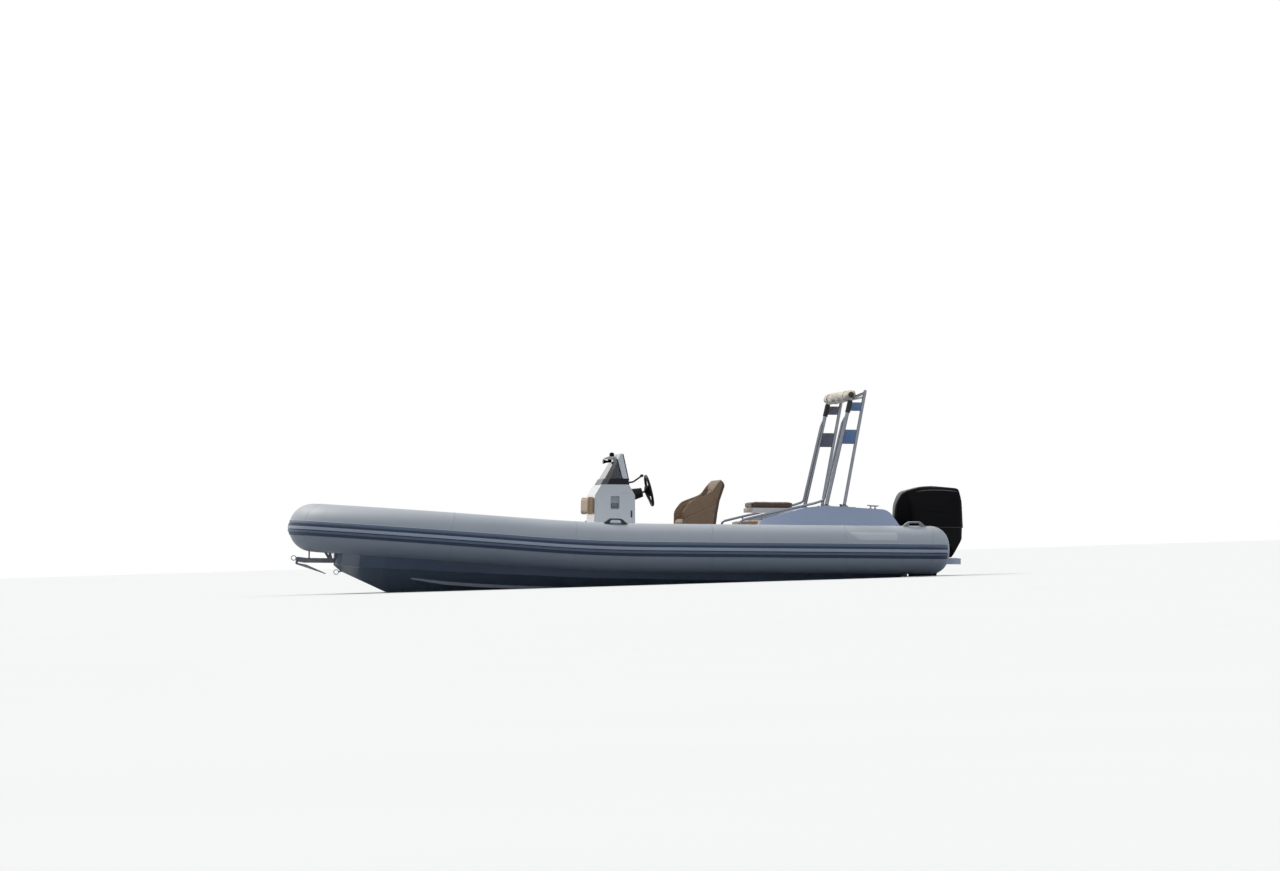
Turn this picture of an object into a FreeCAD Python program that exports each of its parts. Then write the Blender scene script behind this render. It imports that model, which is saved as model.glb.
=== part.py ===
import FreeCAD, Part
import math
import os

# Inflatable rigid-hulled boat, drawn level in millimetres.
# X runs forward from amidships, Y to port, Z up from the water amidships.
# Every piece is turned by TRIM as it is saved, so that Z = 0 is the water the boat floats on.

Vector = FreeCAD.Vector
ALONG = Vector(1, 0, 0)
ACROSS = Vector(0, 1, 0)
UP = Vector(0, 0, 1)

# Floating attitude and general clearances
TRIM = 2.2
SEAT = 0.3
PIN_PLAY = 0.08

# Collar: the air tubes and the line they follow
TUBE_R = 250.0
TUBE_Y = 1000.0
TUBE_Z = 395.0
HALF_LENGTH = 3400.0
SHEER_START = -300.0
SHEER_END = 900.0
SHEER_RISE = 3.7
SHOULDER_R = 2400.0
NOSE_R = 550.0
STERN_CAP_DEPTH = 190.0
TUBE_TOP = TUBE_Z + TUBE_R

# Rub strake, heights measured from the tube's axis
STRAKE_T = 7.0
STRAKE_TOP = 24.0
STRAKE_BOTTOM = -84.0
STRIPE_T = 4.0
STRIPES = (
    # top, bottom
    (4.0, -26.0),
    (-41.0, -56.0),
)

# Hull
TRANSOM_X = -2930.0
STEM_X = 2925.0
HULL_DEPTH_BELOW_TUBE = 205.0
CHINE_FLAT = 45.0
HULL_STATIONS = (
    # x, keel z, chine y, chine z, side y
    (TRANSOM_X, -330.0, 860.0, 50.0, 895.0),
    (300.0, -330.0, 860.0, 78.0, 895.0),
    (1000.0, -330.0, 845.0, 104.0, 893.0),
    (1400.0, -318.0, 812.0, 118.0, 890.0),
    (1800.0, -272.0, 742.0, 134.0, 853.0),
    (2150.0, -186.0, 630.0, 150.0, 768.0),
    (2435.0, -61.0, 490.0, 162.0, 652.0),
    (2680.0, 50.0, 310.0, 170.0, 480.0),
    (2849.0, 127.0, 130.0, 188.0, 300.0),
    (STEM_X, 190.0, 22.0, 208.0, 130.0),
)
SPRAY_RAILS = (
    # share of the way from keel to chine, start x, end x, width, depth
    (0.42, TRANSOM_X, 2050.0, 42.0, 22.0),
    (0.72, TRANSOM_X, 2250.0, 42.0, 22.0),
)

# Cockpit
SOLE_Z = 200.0
SOLE_T = 20.0
LINER_INSET = 310.0
LINER_TOP = 60.0
LINER_BOTTOM = -215.0
COCKPIT_FRONT = 1420.0
COCKPIT_BACK = -2240.0
COAMING_FRONT = -1401.0
COAMING_BACK = TRANSOM_X + 17.0
COAMING_INNER_Y = 620.0
COAMING_OUTER_Y = 850.0
COAMING_CREST_Z = 850.0
TRANSOM_T = 65.0
TRANSOM_TOP = 250.0
TRANSOM_SIDE_TOP = 470.0
TRANSOM_CUT_Y = 300.0
PLATFORM_BACK = TRANSOM_X - 668.0

# Bow deck, in the plane that rises with the tubes
BOW_DECK_BACK = 1440.0
BOW_DECK_TOP = TUBE_Z + LINER_TOP
BOW_WALL = 25.0
BOW_LOCKER_BACK = 1520.0
BOW_LOCKER_FRONT = 2330.0
BOW_LOCKER_Y = 330.0
LID_T = 25.0
LID_LAP = 40.0
LID_GAP = 0.5
BOW_PAD_T = 60.0

# Console
CONSOLE_Y = 400.0
CONSOLE_FRONT = 245.0
CONSOLE_BACK = -200.0
CONSOLE_TOP = 1055.0
CONSOLE_KNEE = 944.0
CONSOLE_BROW_FRONT = 165.0
CONSOLE_BROW_BACK = -126.0
SCREEN_T = 6.0
SCREEN_TOP = 1380.0
FRAME_T = 14.0
CONSOLE_PAD_T = 66.0
CONSOLE_SEAT_LENGTH = 430.0
CONSOLE_SEAT_Z = 480.0
CONSOLE_SEAT_Y = 330.0
CUSHION_T = 60.0

# Steering
WHEEL_X = -385.0
WHEEL_Z = 1000.0
WHEEL_RAKE = 14.0
WHEEL_R = 157.0
WHEEL_RIM_R = 14.0
WHEEL_DISH = 40.0
SHAFT_R = 10.0
SHAFT_LENGTH = 80.0
HELM_R = 48.0
HELM_FACE = 76.0

# Helm seat
HELM_SEAT_Y = 400.0
HELM_SEAT_SIDE_T = 62.0
HELM_BASE_Y = 350.0
HELM_BASE_FRONT = -720.0
HELM_BASE_BACK = -1030.0
HELM_BASE_Z = 600.0

# Aft bench
BENCH_FRONT = -1330.0
BENCH_Z = 640.0
BENCH_CUSHION_TOP = 692.0
REAR_DECK_FRONT = -1868.0
REAR_DECK_Z = 765.0
BACKREST_FRONT = -1425.0
BACKREST_BACK = -1880.0
BACKREST_Y = 288.0
BACKREST_Z = 780.0
BACKREST_BOARD_T = 48.0
BACKREST_PAD_T = 58.0

# Hinges of the lid and the backrest
HINGE_PIN_R = 4.0
HINGE_BARREL_R = 10.0
HINGE_LUG_T = 14.0
HINGE_ARM_T = 6.0
HINGE_OFFSET = 18.0

# Roll bar
ARCH_Y = 775.0
ARCH_FOOT_Z = 852.0
FRONT_LEG = (-2150.0, -2400.0, 1975.0)
REAR_LEG = (-2338.0, -2550.0, 2045.0)
FRONT_LEG_R = 20.0
REAR_LEG_R = 17.5
ARCH_FLANGE_R = 42.0
ARCH_PLATES = (
    # bottom z, top z
    (1495.0, 1645.0),
    (1840.0, 1930.0),
)
ARCH_PLATE_T = 6.0
ARCH_TIE_R = 11.0
FRONT_BAR_R = 17.0
REAR_BAR_R = 14.0
SLEEVE_R = 26.0
SLEEVE_BOTTOM = 1822.0
SLEEVE_TOP = 1950.0
CANVAS_R = 58.0
CANVAS_Y = 810.0
CANVAS_LIFT = 32.0

# Hand rail
RAIL_R = 12.5
RAIL_Y = 738.0
RAIL_FOOT_X = -1250.0
RAIL_CLIP_Z = 1300.0

# Grab handles on the tubes
HANDLE_XS = (90.0, -HALF_LENGTH + 370.0)
HANDLE_LENGTH = 240.0
HANDLE_H = 50.0
HANDLE_T = 12.0
HANDLE_Y = 16.0
HANDLE_TURN = 12.0
HANDLE_FOOT = 54.0

# Outboard engine
TILT_X = TRANSOM_X - 55.0
TILT_Z = 262.0
TILT_TUBE_R = 20.0
STEER_X = TILT_X - 110.0
STEER_PIN_R = 24.0
STEER_TUBE_R = 40.0
SWIVEL_TOP = 270.0
SWIVEL_BOTTOM = -20.0
YOKE_T = 34.0
YOKE_GAP = 6.0
CLAMP_Y = 120.0
CLAMP_T = 18.0
ENGINE_LENGTH = 732.0
ENGINE_FRONT = STEER_X + 115.0
ENGINE_BACK = ENGINE_FRONT - ENGINE_LENGTH
ENGINE_TOP = 1078.0
COWL_Y = 250.0
COWL_SPLIT_Z = 640.0
COWL_SEAM = 0.5
LOWER_COVER_Y = 206.0
LEG_TOP = 325.0
LEG_Y = 62.0
LEG_NOSE = STEER_X - 54.0
PLATE_Z = -400.0
PROP_Z = -612.0
PROP_R = 182.0
PROP_HUB_R = 52.0
PROP_X = STEER_X - 345.0
PROP_LENGTH = 120.0
PROP_PITCH = 400.0
BLADE_SECTIONS = (
    # radius, chord, thickness, skew
    (36.0, 84.0, 16.0, 0.0),
    (80.0, 122.0, 11.0, -4.0),
    (120.0, 142.0, 8.0, -10.0),
    (150.0, 132.0, 6.0, -16.0),
    (170.0, 96.0, 4.5, -22.0),
    (PROP_R - 2.0, 40.0, 3.0, -27.0),
)
PROP_SHAFT_R = 14.0
GEARCASE_R = 58.0
SKEG_Z = -800.0

# Deck hardware
EYE_BORE_R = 20.0
EYE_T = 12.0
EYE_WALL = 8.5
BOW_EYE = (2897.0, 0.0, 118.0)
STERN_EYE = (TRANSOM_X - 44.0, 380.0, 60.0)
ROLLER_TIP_X = 3300.0
ROLLER_Y = 34.0
CHEEK_T = 6.0
ROLLER_PIN_R = 8.0
FLUKE_T = 9.0

SHEER_X = (SHEER_START + SHEER_END) / 2
SHEER_RUN = (SHEER_END - SHEER_START) / 2
SHEER_R = SHEER_RUN / math.tan(math.radians(SHEER_RISE / 2))
NOSE_X = HALF_LENGTH - TUBE_R - NOSE_R
SHOULDER_Y = TUBE_Y - SHOULDER_R
SHOULDER_X = NOSE_X - math.sqrt((SHOULDER_R - NOSE_R) ** 2 - SHOULDER_Y ** 2)
SHOULDER_TURN = math.degrees(math.atan2(NOSE_X - SHOULDER_X, -SHOULDER_Y))
TUBE_START = -HALF_LENGTH + STERN_CAP_DEPTH

PLANES = {
    "XY": (lambda a, b, at: Vector(a, b, at), UP),
    "XZ": (lambda a, b, at: Vector(a, at, b), ACROSS),
    "YZ": (lambda a, b, at: Vector(at, a, b), ALONG),
}


def save(name, shape):
    """Turn a finished piece to the floating attitude and write it."""
    afloat = shape.copy()
    afloat.rotate(Vector(0, 0, 0), ACROSS, -TRIM)
    afloat.exportStep(f"parts/{name}.step")
    state = "" if afloat.isValid() else "  NOT VALID"
    print(f"{name}: {len(afloat.Solids)} solids, {afloat.Volume / 1e6:.2f} litres{state}")


def mirrored(shape):
    """The same piece on the starboard side."""
    return shape.mirror(Vector(0, 0, 0), ACROSS)


def on_rise(shape):
    """Turn a piece drawn level into the plane that rises with the bow."""
    turned = shape.copy()
    turned.rotate(Vector(SHEER_X, 0, TUBE_Z), ACROSS, -SHEER_RISE)
    return turned


def fused(shapes):
    """Join shapes into one, with the seams between flush faces removed."""
    whole = shapes[0]
    if len(shapes) > 1:
        whole = whole.fuse(shapes[1:])
    return whole.removeSplitter()


def largest(shape):
    """The main solid left after a cut that trims off a waste end."""
    return max(shape.Solids, key=lambda solid: solid.Volume)


def outline(corners, plane, at):
    """Closed wire through corners given as (a, b) or (a, b, fillet radius)."""
    place = PLANES[plane][0]
    points = [place(corner[0], corner[1], at) for corner in corners]
    radii = [corner[2] if len(corner) > 2 else 0 for corner in corners]
    edges = []
    starts = []
    ends = []
    for index, point in enumerate(points):
        radius = radii[index]
        if radius == 0:
            starts.append(point)
            ends.append(point)
            continue
        back = (points[index - 1] - point).normalize()
        ahead = (points[(index + 1) % len(points)] - point).normalize()
        half = back.getAngle(ahead) / 2
        reach = radius / math.tan(half)
        middle = (back + ahead).normalize() * (radius / math.sin(half) - radius)
        starts.append(point + back * reach)
        ends.append(point + ahead * reach)
        edges.append(Part.Arc(starts[-1], point + middle, ends[-1]).toShape())
    for index, start in enumerate(starts):
        end = ends[index - 1]
        if start.distanceToPoint(end) > 1e-6:
            edges.append(Part.LineSegment(end, start).toShape())
    return Part.Wire(Part.sortEdges(edges)[0])


def prism(corners, plane, low, high):
    """Solid between two planes square to the third axis."""
    face = Part.Face(outline(corners, plane, low))
    return face.extrude(PLANES[plane][1] * (high - low))


def box(x0, x1, y0, y1, z0, z1):
    return Part.makeBox(x1 - x0, y1 - y0, z1 - z0, Vector(x0, y0, z0))


def symmetric_prism(half, plane, low, high):
    """Prism whose outline is drawn for the port side as (place, y, fillet) and mirrored."""
    port = [(place, y, fillet) for place, y, fillet in half]
    starboard = [(place, -y, fillet) for place, y, fillet in reversed(half)]
    corners = port + starboard
    if plane == "YZ":
        corners = [(y, place, fillet) for place, y, fillet in corners]
    return prism(corners, plane, low, high)


def both_sides(corners, plane, inner, outer):
    """The same prism to port and to starboard."""
    port = prism(corners, plane, inner, outer)
    return [port, mirrored(port)]


def disc(centre, direction, radius):
    return Part.Face(Part.Wire(Part.makeCircle(radius, centre, direction)))


def rod(route, radius, bend=0):
    """Round bar along straight runs joined by tangent arcs; bend is one radius or one a corner."""
    points = [Vector(*place) for place in route]
    corners = len(points) - 2
    bends = bend if isinstance(bend, tuple) else (bend,) * corners
    pieces = []
    start = points[0]
    for before, corner, after, reach_r in zip(points, points[1:], points[2:], bends):
        heading = (corner - before).normalize()
        leaving = (after - corner).normalize()
        turn = heading.getAngle(leaving)
        reach = reach_r * math.tan(turn / 2)
        entry = corner - heading * reach
        axis = heading.cross(leaving).normalize()
        centre = entry + axis.cross(heading) * reach_r
        pieces.append(disc(start, heading, radius).extrude(entry - start))
        pieces.append(disc(entry, heading, radius).revolve(centre, axis, math.degrees(turn)))
        start = corner + leaving * reach
    heading = (points[-1] - start).normalize()
    pieces.append(disc(start, heading, radius).extrude(points[-1] - start))
    return fused(pieces)


def cylinder(centre, direction, radius, length):
    return Part.makeCylinder(radius, length, Vector(*centre), direction)


def ring_section(x, top, bottom, inner, outer):
    """Band on the outboard side of the port tube, between two heights from its axis."""
    def on_ring(radius, angle):
        return Vector(x, TUBE_Y + radius * math.cos(angle), TUBE_Z + radius * math.sin(angle))
    high = math.asin(top / TUBE_R)
    low = math.asin(bottom / TUBE_R)
    middle = (high + low) / 2
    edges = [
        Part.Arc(on_ring(inner, high), on_ring(inner, middle), on_ring(inner, low)).toShape(),
        Part.LineSegment(on_ring(inner, low), on_ring(outer, low)).toShape(),
        Part.Arc(on_ring(outer, low), on_ring(outer, middle), on_ring(outer, high)).toShape(),
        Part.LineSegment(on_ring(outer, high), on_ring(inner, high)).toShape(),
    ]
    return Part.Face(Part.Wire(edges))


def tube_section(x, radius=TUBE_R):
    return disc(Vector(x, TUBE_Y, TUBE_Z), ALONG, radius)


def liner_section(x):
    """Inner moulding beside the port tube: a wall whose outer face is the tube's seat."""
    inner = TUBE_Y - LINER_INSET
    corners = (
        (inner, TUBE_Z + LINER_BOTTOM),
        (TUBE_Y, TUBE_Z + LINER_BOTTOM),
        (TUBE_Y, TUBE_Z + LINER_TOP),
        (inner, TUBE_Z + LINER_TOP, 25.0),
    )
    block = Part.Face(outline(corners, "YZ", x))
    return block.cut(tube_section(x, TUBE_R + SEAT)).Faces[0]


def along_side(face, start):
    """Carry a section down the port side, from its own x to the shoulder."""
    aft = face.extrude(ALONG * (SHEER_START - start))
    at_bend = face.translated(ALONG * (SHEER_START - start))
    centre = Vector(SHEER_START, 0, TUBE_Z + SHEER_R)
    bend = at_bend.revolve(centre, -ACROSS, SHEER_RISE)
    past_bend = at_bend.copy()
    past_bend.rotate(centre, -ACROSS, SHEER_RISE)
    rise = math.radians(SHEER_RISE)
    heading = Vector(math.cos(rise), 0, math.sin(rise))
    forward = past_bend.extrude(heading * (SHOULDER_X - SHEER_X - SHEER_RUN))
    return [aft, bend, forward]


def round_bow(face):
    """Carry a section, drawn at the shoulder, round the bow to the other side."""
    shoulder = Vector(SHOULDER_X, SHOULDER_Y, 0)
    nose = Vector(NOSE_X, 0, 0)
    opposite = Vector(SHOULDER_X, -SHOULDER_Y, 0)
    nose_turn = 180 - 2 * SHOULDER_TURN
    pieces = []
    section = face
    for centre, turn in ((shoulder, SHOULDER_TURN), (nose, nose_turn), (opposite, SHOULDER_TURN)):
        pieces.append(section.revolve(centre, -UP, turn))
        section = section.copy()
        section.rotate(centre, -UP, turn)
    return [on_rise(piece) for piece in pieces]


def air_tubes():
    """Port, bow and starboard lengths of the collar."""
    cap_corners = (
        (0.0, 0.0),
        (TUBE_R, 0.0),
        (TUBE_R, -STERN_CAP_DEPTH, STERN_CAP_DEPTH - 1),
        (0.0, -STERN_CAP_DEPTH),
    )
    cap_face = Part.Face(outline([(b, a + TUBE_Y, *rest) for a, b, *rest in cap_corners], "XY", TUBE_Z))
    cap_face.translate(ALONG * TUBE_START)
    cap = cap_face.revolve(Vector(TUBE_START, TUBE_Y, TUBE_Z), ALONG, 360)
    port = fused([cap] + along_side(tube_section(TUBE_START), TUBE_START))
    bow = fused(round_bow(tube_section(SHOULDER_X)))
    return port, bow


def tube_clearance():
    """The collar's outline with seat play, for cutting what it lies in."""
    side = along_side(tube_section(TUBE_START, TUBE_R + SEAT), TUBE_START)
    return side + [mirrored(piece) for piece in side] + round_bow(tube_section(SHOULDER_X, TUBE_R + SEAT))


def strake(top, bottom, inner, outer):
    """A band on the outside of the whole collar."""
    side = along_side(ring_section(TUBE_START, top, bottom, inner, outer), TUBE_START)
    bow = round_bow(ring_section(SHOULDER_X, top, bottom, inner, outer))
    return fused(side + bow + [mirrored(piece) for piece in side])


def side_liner():
    return fused(along_side(liner_section(COAMING_FRONT), COAMING_FRONT))


def bow_liner():
    return fused(round_bow(liner_section(SHOULDER_X)))


def hull_top(x):
    """Height of the hull's flange, which follows the tubes."""
    if x <= SHEER_X:
        return TUBE_Z - HULL_DEPTH_BELOW_TUBE
    slope = math.radians(SHEER_RISE)
    return TUBE_Z - HULL_DEPTH_BELOW_TUBE / math.cos(slope) + (x - SHEER_X) * math.tan(slope)


def hull_wire(x, keel_z, chine_y, chine_z, side_y):
    flat = min(CHINE_FLAT, chine_y * 0.4)
    port = [(chine_y - flat, chine_z - 4.0), (chine_y, chine_z), (side_y, hull_top(x))]
    starboard = [(-y, z) for y, z in reversed(port)]
    points = [Vector(x, y, z) for y, z in [(0.0, keel_z)] + port + starboard]
    return Part.makePolygon(points + points[:1])


def spray_rails():
    """Strips along the bottom panels that throw the water down and out."""
    rails = []
    for share, start, end, width, depth in SPRAY_RAILS:
        wires = []
        for x, keel_z, chine_y, chine_z, side_y in HULL_STATIONS:
            if x > end:
                break
            taper = 0.15 if x + 400.0 > end else 1.0
            inner = chine_y - min(CHINE_FLAT, chine_y * 0.4)
            y = inner * share
            z = keel_z + (chine_z - 4.0 - keel_z) * share
            slope = (chine_z - 4.0 - keel_z) / inner
            points = [
                Vector(x, y - width / 2, z - slope * width / 2 + 2.0),
                Vector(x, y + width / 2, z + slope * width / 2 + 2.0),
                Vector(x, y + width / 2, z - depth * taper),
            ]
            wires.append(Part.makePolygon(points + points[:1]))
        port = Part.makeLoft(wires, True, True)
        rails += [port, mirrored(port)]
    return rails


def hull(clearance, liners):
    wires = [hull_wire(*station) for station in HULL_STATIONS]
    body = Part.makeLoft(wires, True, True)
    body = body.fuse(spray_rails())
    wide = TUBE_Y - LINER_INSET
    tall = 600.0
    floor = SOLE_Z - SOLE_T
    cockpit = box(COAMING_FRONT, COCKPIT_FRONT, -wide, wide, floor, tall)
    stern = box(COCKPIT_BACK, COAMING_FRONT, -COAMING_INNER_Y, COAMING_INNER_Y, floor, tall)
    body = body.cut([cockpit, stern] + liners)
    return largest(body.cut(clearance))


def sole():
    wide = TUBE_Y - LINER_INSET - 2.0
    corners = (
        (COCKPIT_FRONT, wide),
        (COAMING_FRONT, wide),
        (COAMING_FRONT, COAMING_INNER_Y),
        (COCKPIT_BACK, COAMING_INNER_Y),
        (COCKPIT_BACK, -COAMING_INNER_Y),
        (COAMING_FRONT, -COAMING_INNER_Y),
        (COAMING_FRONT, -wide),
        (COCKPIT_FRONT, -wide),
    )
    return prism(corners, "XY", SOLE_Z - SOLE_T, SOLE_Z)


def transom():
    foot = TUBE_Z - HULL_DEPTH_BELOW_TUBE
    slope_y = TRANSOM_CUT_Y + (TRANSOM_SIDE_TOP - TRANSOM_TOP) * 0.8
    corners = (
        (-COAMING_INNER_Y, foot),
        (COAMING_INNER_Y, foot),
        (COAMING_INNER_Y, TRANSOM_SIDE_TOP),
        (slope_y, TRANSOM_SIDE_TOP, 40.0),
        (TRANSOM_CUT_Y, TRANSOM_TOP, 60.0),
        (-TRANSOM_CUT_Y, TRANSOM_TOP, 60.0),
        (-slope_y, TRANSOM_SIDE_TOP, 40.0),
        (-COAMING_INNER_Y, TRANSOM_SIDE_TOP),
    )
    return prism(corners, "YZ", TRANSOM_X, TRANSOM_X + TRANSOM_T)


def coaming(clearance):
    """Port quarter moulding, which carries the roll bar and covers the tube's inboard side."""
    foot = TUBE_Z - HULL_DEPTH_BELOW_TUBE
    corners = (
        (COAMING_FRONT, foot),
        (COAMING_FRONT, 618.0),
        (COAMING_FRONT - 70.0, 694.0, 90.0),
        (-2010.0, COAMING_CREST_Z + 6.0, 1200.0),
        (-2790.0, 814.0, 150.0),
        (COAMING_BACK, 650.0),
        (COAMING_BACK, foot),
    )
    side = prism(corners, "XZ", COAMING_INNER_Y, COAMING_OUTER_Y)
    return largest(side.cut(clearance))


def swim_platform():
    corners = (
        (TRANSOM_X, 470.0),
        (TRANSOM_X, 748.0),
        (PLATFORM_BACK + 98.0, 748.0, 60.0),
        (PLATFORM_BACK, 660.0, 60.0),
        (PLATFORM_BACK, 470.0, 45.0),
    )
    plate = prism(corners, "XY", 252.0, 314.0)
    knee_corners = ((TRANSOM_X, 252.0), (PLATFORM_BACK + 298.0, 252.0), (TRANSOM_X, 196.0))
    knees = [prism(knee_corners, "XZ", y, y + 20.0) for y in (490.0, 590.0)]
    return fused([plate] + knees)


def bow_edge(inset, x0, z):
    """Plan outline inside the bow, parallel to the collar's axis, closed at x0."""
    radius = SHOULDER_R - inset
    nose = NOSE_R - inset
    turn = math.radians(SHOULDER_TURN)

    def on_shoulder(angle, side):
        y = SHOULDER_Y + radius * math.cos(angle)
        return Vector(SHOULDER_X + radius * math.sin(angle), side * y, z)

    first = math.asin((x0 - SHOULDER_X) / radius)
    middle = (first + turn) / 2
    tip = Vector(NOSE_X + nose, 0, z)
    port = Part.Arc(on_shoulder(first, 1), on_shoulder(middle, 1), on_shoulder(turn, 1))
    front = Part.Arc(on_shoulder(turn, 1), tip, on_shoulder(turn, -1))
    starboard = Part.Arc(on_shoulder(turn, -1), on_shoulder(middle, -1), on_shoulder(first, -1))
    back = Part.LineSegment(on_shoulder(first, -1), on_shoulder(first, 1))
    return Part.Wire([curve.toShape() for curve in (port, front, starboard, back)])


def bow_deck():
    foot = TUBE_Z - HULL_DEPTH_BELOW_TUBE
    edge = bow_edge(LINER_INSET + 0.2, BOW_DECK_BACK, foot)
    block = Part.Face(edge).extrude(UP * (BOW_DECK_TOP - foot))
    locker = prism(
        (
            (BOW_LOCKER_BACK, -BOW_LOCKER_Y, 40.0),
            (BOW_LOCKER_FRONT, -BOW_LOCKER_Y + 90.0, 40.0),
            (BOW_LOCKER_FRONT, BOW_LOCKER_Y - 90.0, 40.0),
            (BOW_LOCKER_BACK, BOW_LOCKER_Y, 40.0),
        ),
        "XY", foot + BOW_WALL, BOW_DECK_TOP + 1.0)
    return on_rise(block.cut(locker))


def hinge_lugs(x, z, foot, ys):
    """Fixed half of a hinge: an eye on a post at each y."""
    lugs = []
    for y in ys:
        barrel = cylinder((x, y - HINGE_LUG_T / 2, z), ACROSS, HINGE_BARREL_R, HINGE_LUG_T)
        post = box(x - HINGE_BARREL_R, x + HINGE_BARREL_R, y - HINGE_LUG_T / 2, y + HINGE_LUG_T / 2, foot, z)
        bore = cylinder((x, y - HINGE_LUG_T, z), ACROSS, HINGE_PIN_R + PIN_PLAY, HINGE_LUG_T * 2)
        lugs.append(fused([barrel, post]).cut(bore))
    return lugs


def hinge_arms(x, z, edge, ys, thickness):
    """Moving half: two arms from the panel's edge to the pin, either side of each lug."""
    arms = []
    for y in ys:
        inner = HINGE_LUG_T / 2 + 1.0
        outer = inner + HINGE_ARM_T
        pin = cylinder((x, y - outer, z), ACROSS, HINGE_PIN_R, 2 * outer)
        pieces = [pin]
        for side in (-outer, inner):
            low = min(x, edge)
            high = max(x, edge)
            half = min(thickness / 2, HINGE_BARREL_R)
            pieces.append(box(low, high, y + side, y + side + HINGE_ARM_T, z - half, z + half))
            pieces.append(cylinder((x, y + side, z), ACROSS, half, HINGE_ARM_T))
        arms.append(fused(pieces))
    return arms


BOW_LID_Z = BOW_DECK_TOP + LID_GAP
BOW_LID_BACK = BOW_LOCKER_BACK - LID_LAP
BOW_LID_FRONT = BOW_LOCKER_FRONT + LID_LAP
BOW_HINGE_X = BOW_LID_FRONT + HINGE_OFFSET
BOW_HINGE_Z = BOW_LID_Z + LID_T / 2
BOW_HINGE_YS = (-150.0, 150.0)


def lid_corners(grow):
    return (
        (BOW_LID_BACK - grow, -BOW_LOCKER_Y - LID_LAP - grow, 50.0),
        (BOW_LID_FRONT + grow, -BOW_LOCKER_Y + 90.0 - LID_LAP - grow, 50.0),
        (BOW_LID_FRONT + grow, BOW_LOCKER_Y - 90.0 + LID_LAP + grow, 50.0),
        (BOW_LID_BACK - grow, BOW_LOCKER_Y + LID_LAP + grow, 50.0),
    )


def bow_lid():
    panel = prism(lid_corners(0.0), "XY", BOW_LID_Z, BOW_LID_Z + LID_T)
    arms = hinge_arms(BOW_HINGE_X, BOW_HINGE_Z, BOW_LID_FRONT, BOW_HINGE_YS, LID_T)
    return on_rise(fused([panel] + arms))


def bow_lid_hinge():
    lugs = hinge_lugs(BOW_HINGE_X, BOW_HINGE_Z, BOW_DECK_TOP, BOW_HINGE_YS)
    return on_rise(Part.makeCompound(lugs))


def bow_cushion():
    low = BOW_LID_Z + LID_T + SEAT
    return on_rise(prism(lid_corners(-8.0), "XY", low, low + BOW_PAD_T))


def console():
    corners = (
        (CONSOLE_FRONT, SOLE_Z),
        (CONSOLE_FRONT - 17.0, CONSOLE_KNEE, 12.0),
        (CONSOLE_BROW_FRONT, CONSOLE_TOP, 12.0),
        (CONSOLE_BROW_BACK, CONSOLE_TOP, 12.0),
        (CONSOLE_BACK + 10.0, CONSOLE_KNEE - 2.0, 25.0),
        (CONSOLE_BACK, SOLE_Z),
    )
    side = prism(corners, "XZ", -CONSOLE_Y, CONSOLE_Y)
    plan = prism(
        (
            (CONSOLE_FRONT + 1.0, -CONSOLE_Y + 40.0, 30.0),
            (CONSOLE_FRONT + 1.0, CONSOLE_Y - 40.0, 30.0),
            (CONSOLE_FRONT - 39.0, CONSOLE_Y, 30.0),
            (CONSOLE_BACK - 1.0, CONSOLE_Y, 25.0),
            (CONSOLE_BACK - 1.0, -CONSOLE_Y, 25.0),
            (CONSOLE_FRONT - 39.0, -CONSOLE_Y, 30.0),
        ),
        "XY", SOLE_Z, CONSOLE_TOP + 1.0)
    body = side.common(plan)
    pocket_corners = (
        (-28.0, 798.0, 14.0),
        (68.0, 798.0, 14.0),
        (68.0, 936.0, 14.0),
        (-28.0, 936.0, 14.0),
    )
    pockets = both_sides(pocket_corners, "XZ", CONSOLE_Y - 32.0, CONSOLE_Y + 1.0)
    return body.cut(pockets)


SCREEN_STAGES = (
    # z, front x, front y, corner x, side y, back x
    (CONSOLE_TOP, CONSOLE_BROW_FRONT - 12.0, 300.0, 95.0, 378.0, CONSOLE_BROW_BACK - 6.0),
    (SCREEN_TOP, -34.0, 205.0, -52.0, 262.0, -74.0),
)


def screen_wire(stage, inset, back):
    """Plan of the screen at one height, moved in by inset and back by back."""
    z, front_x, front_y, corner_x, side_y, back_x = stage
    points = [
        (front_x - inset, front_y - inset * 0.4),
        (corner_x - inset * 0.6, side_y - inset),
        (back_x - back, side_y - inset),
    ]
    points += [(x, -y) for x, y in reversed(points)]
    corners = [Vector(x, y, z) for x, y in points]
    return Part.makePolygon(corners + corners[:1])


def screen_block(grow=0.0):
    """The windscreen's outer form, filled."""
    return Part.makeLoft([screen_wire(stage, -grow, 0.0) for stage in SCREEN_STAGES], True, True)


def screen_shell(thickness, grow=0.0):
    """Wrap-round screen: walls between a wide base and a narrow top, open at the back."""
    inner = Part.makeLoft([screen_wire(stage, thickness, 200.0) for stage in SCREEN_STAGES], True, True)
    return screen_block(grow).cut(inner)


def windscreen():
    """Clear panels, between the base band and the back posts."""
    shell = screen_shell(SCREEN_T)
    return shell.cut(frame_region())


def frame_region():
    """Space taken by the screen's base band and by the broad posts at its back."""
    band = box(-300.0, 300.0, -500.0, 500.0, CONSOLE_TOP - 50.0, CONSOLE_TOP + 36.0)
    post_corners = (
        (-66.0, CONSOLE_TOP - 50.0),
        (-60.0, CONSOLE_TOP + 36.0),
        (-12.0, SCREEN_TOP - 60.0),
        (-12.0, SCREEN_TOP + 50.0),
        (-300.0, SCREEN_TOP + 50.0),
        (-300.0, CONSOLE_TOP - 50.0),
    )
    posts = prism(post_corners, "XZ", -500.0, 500.0)
    return band.fuse(posts)


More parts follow.
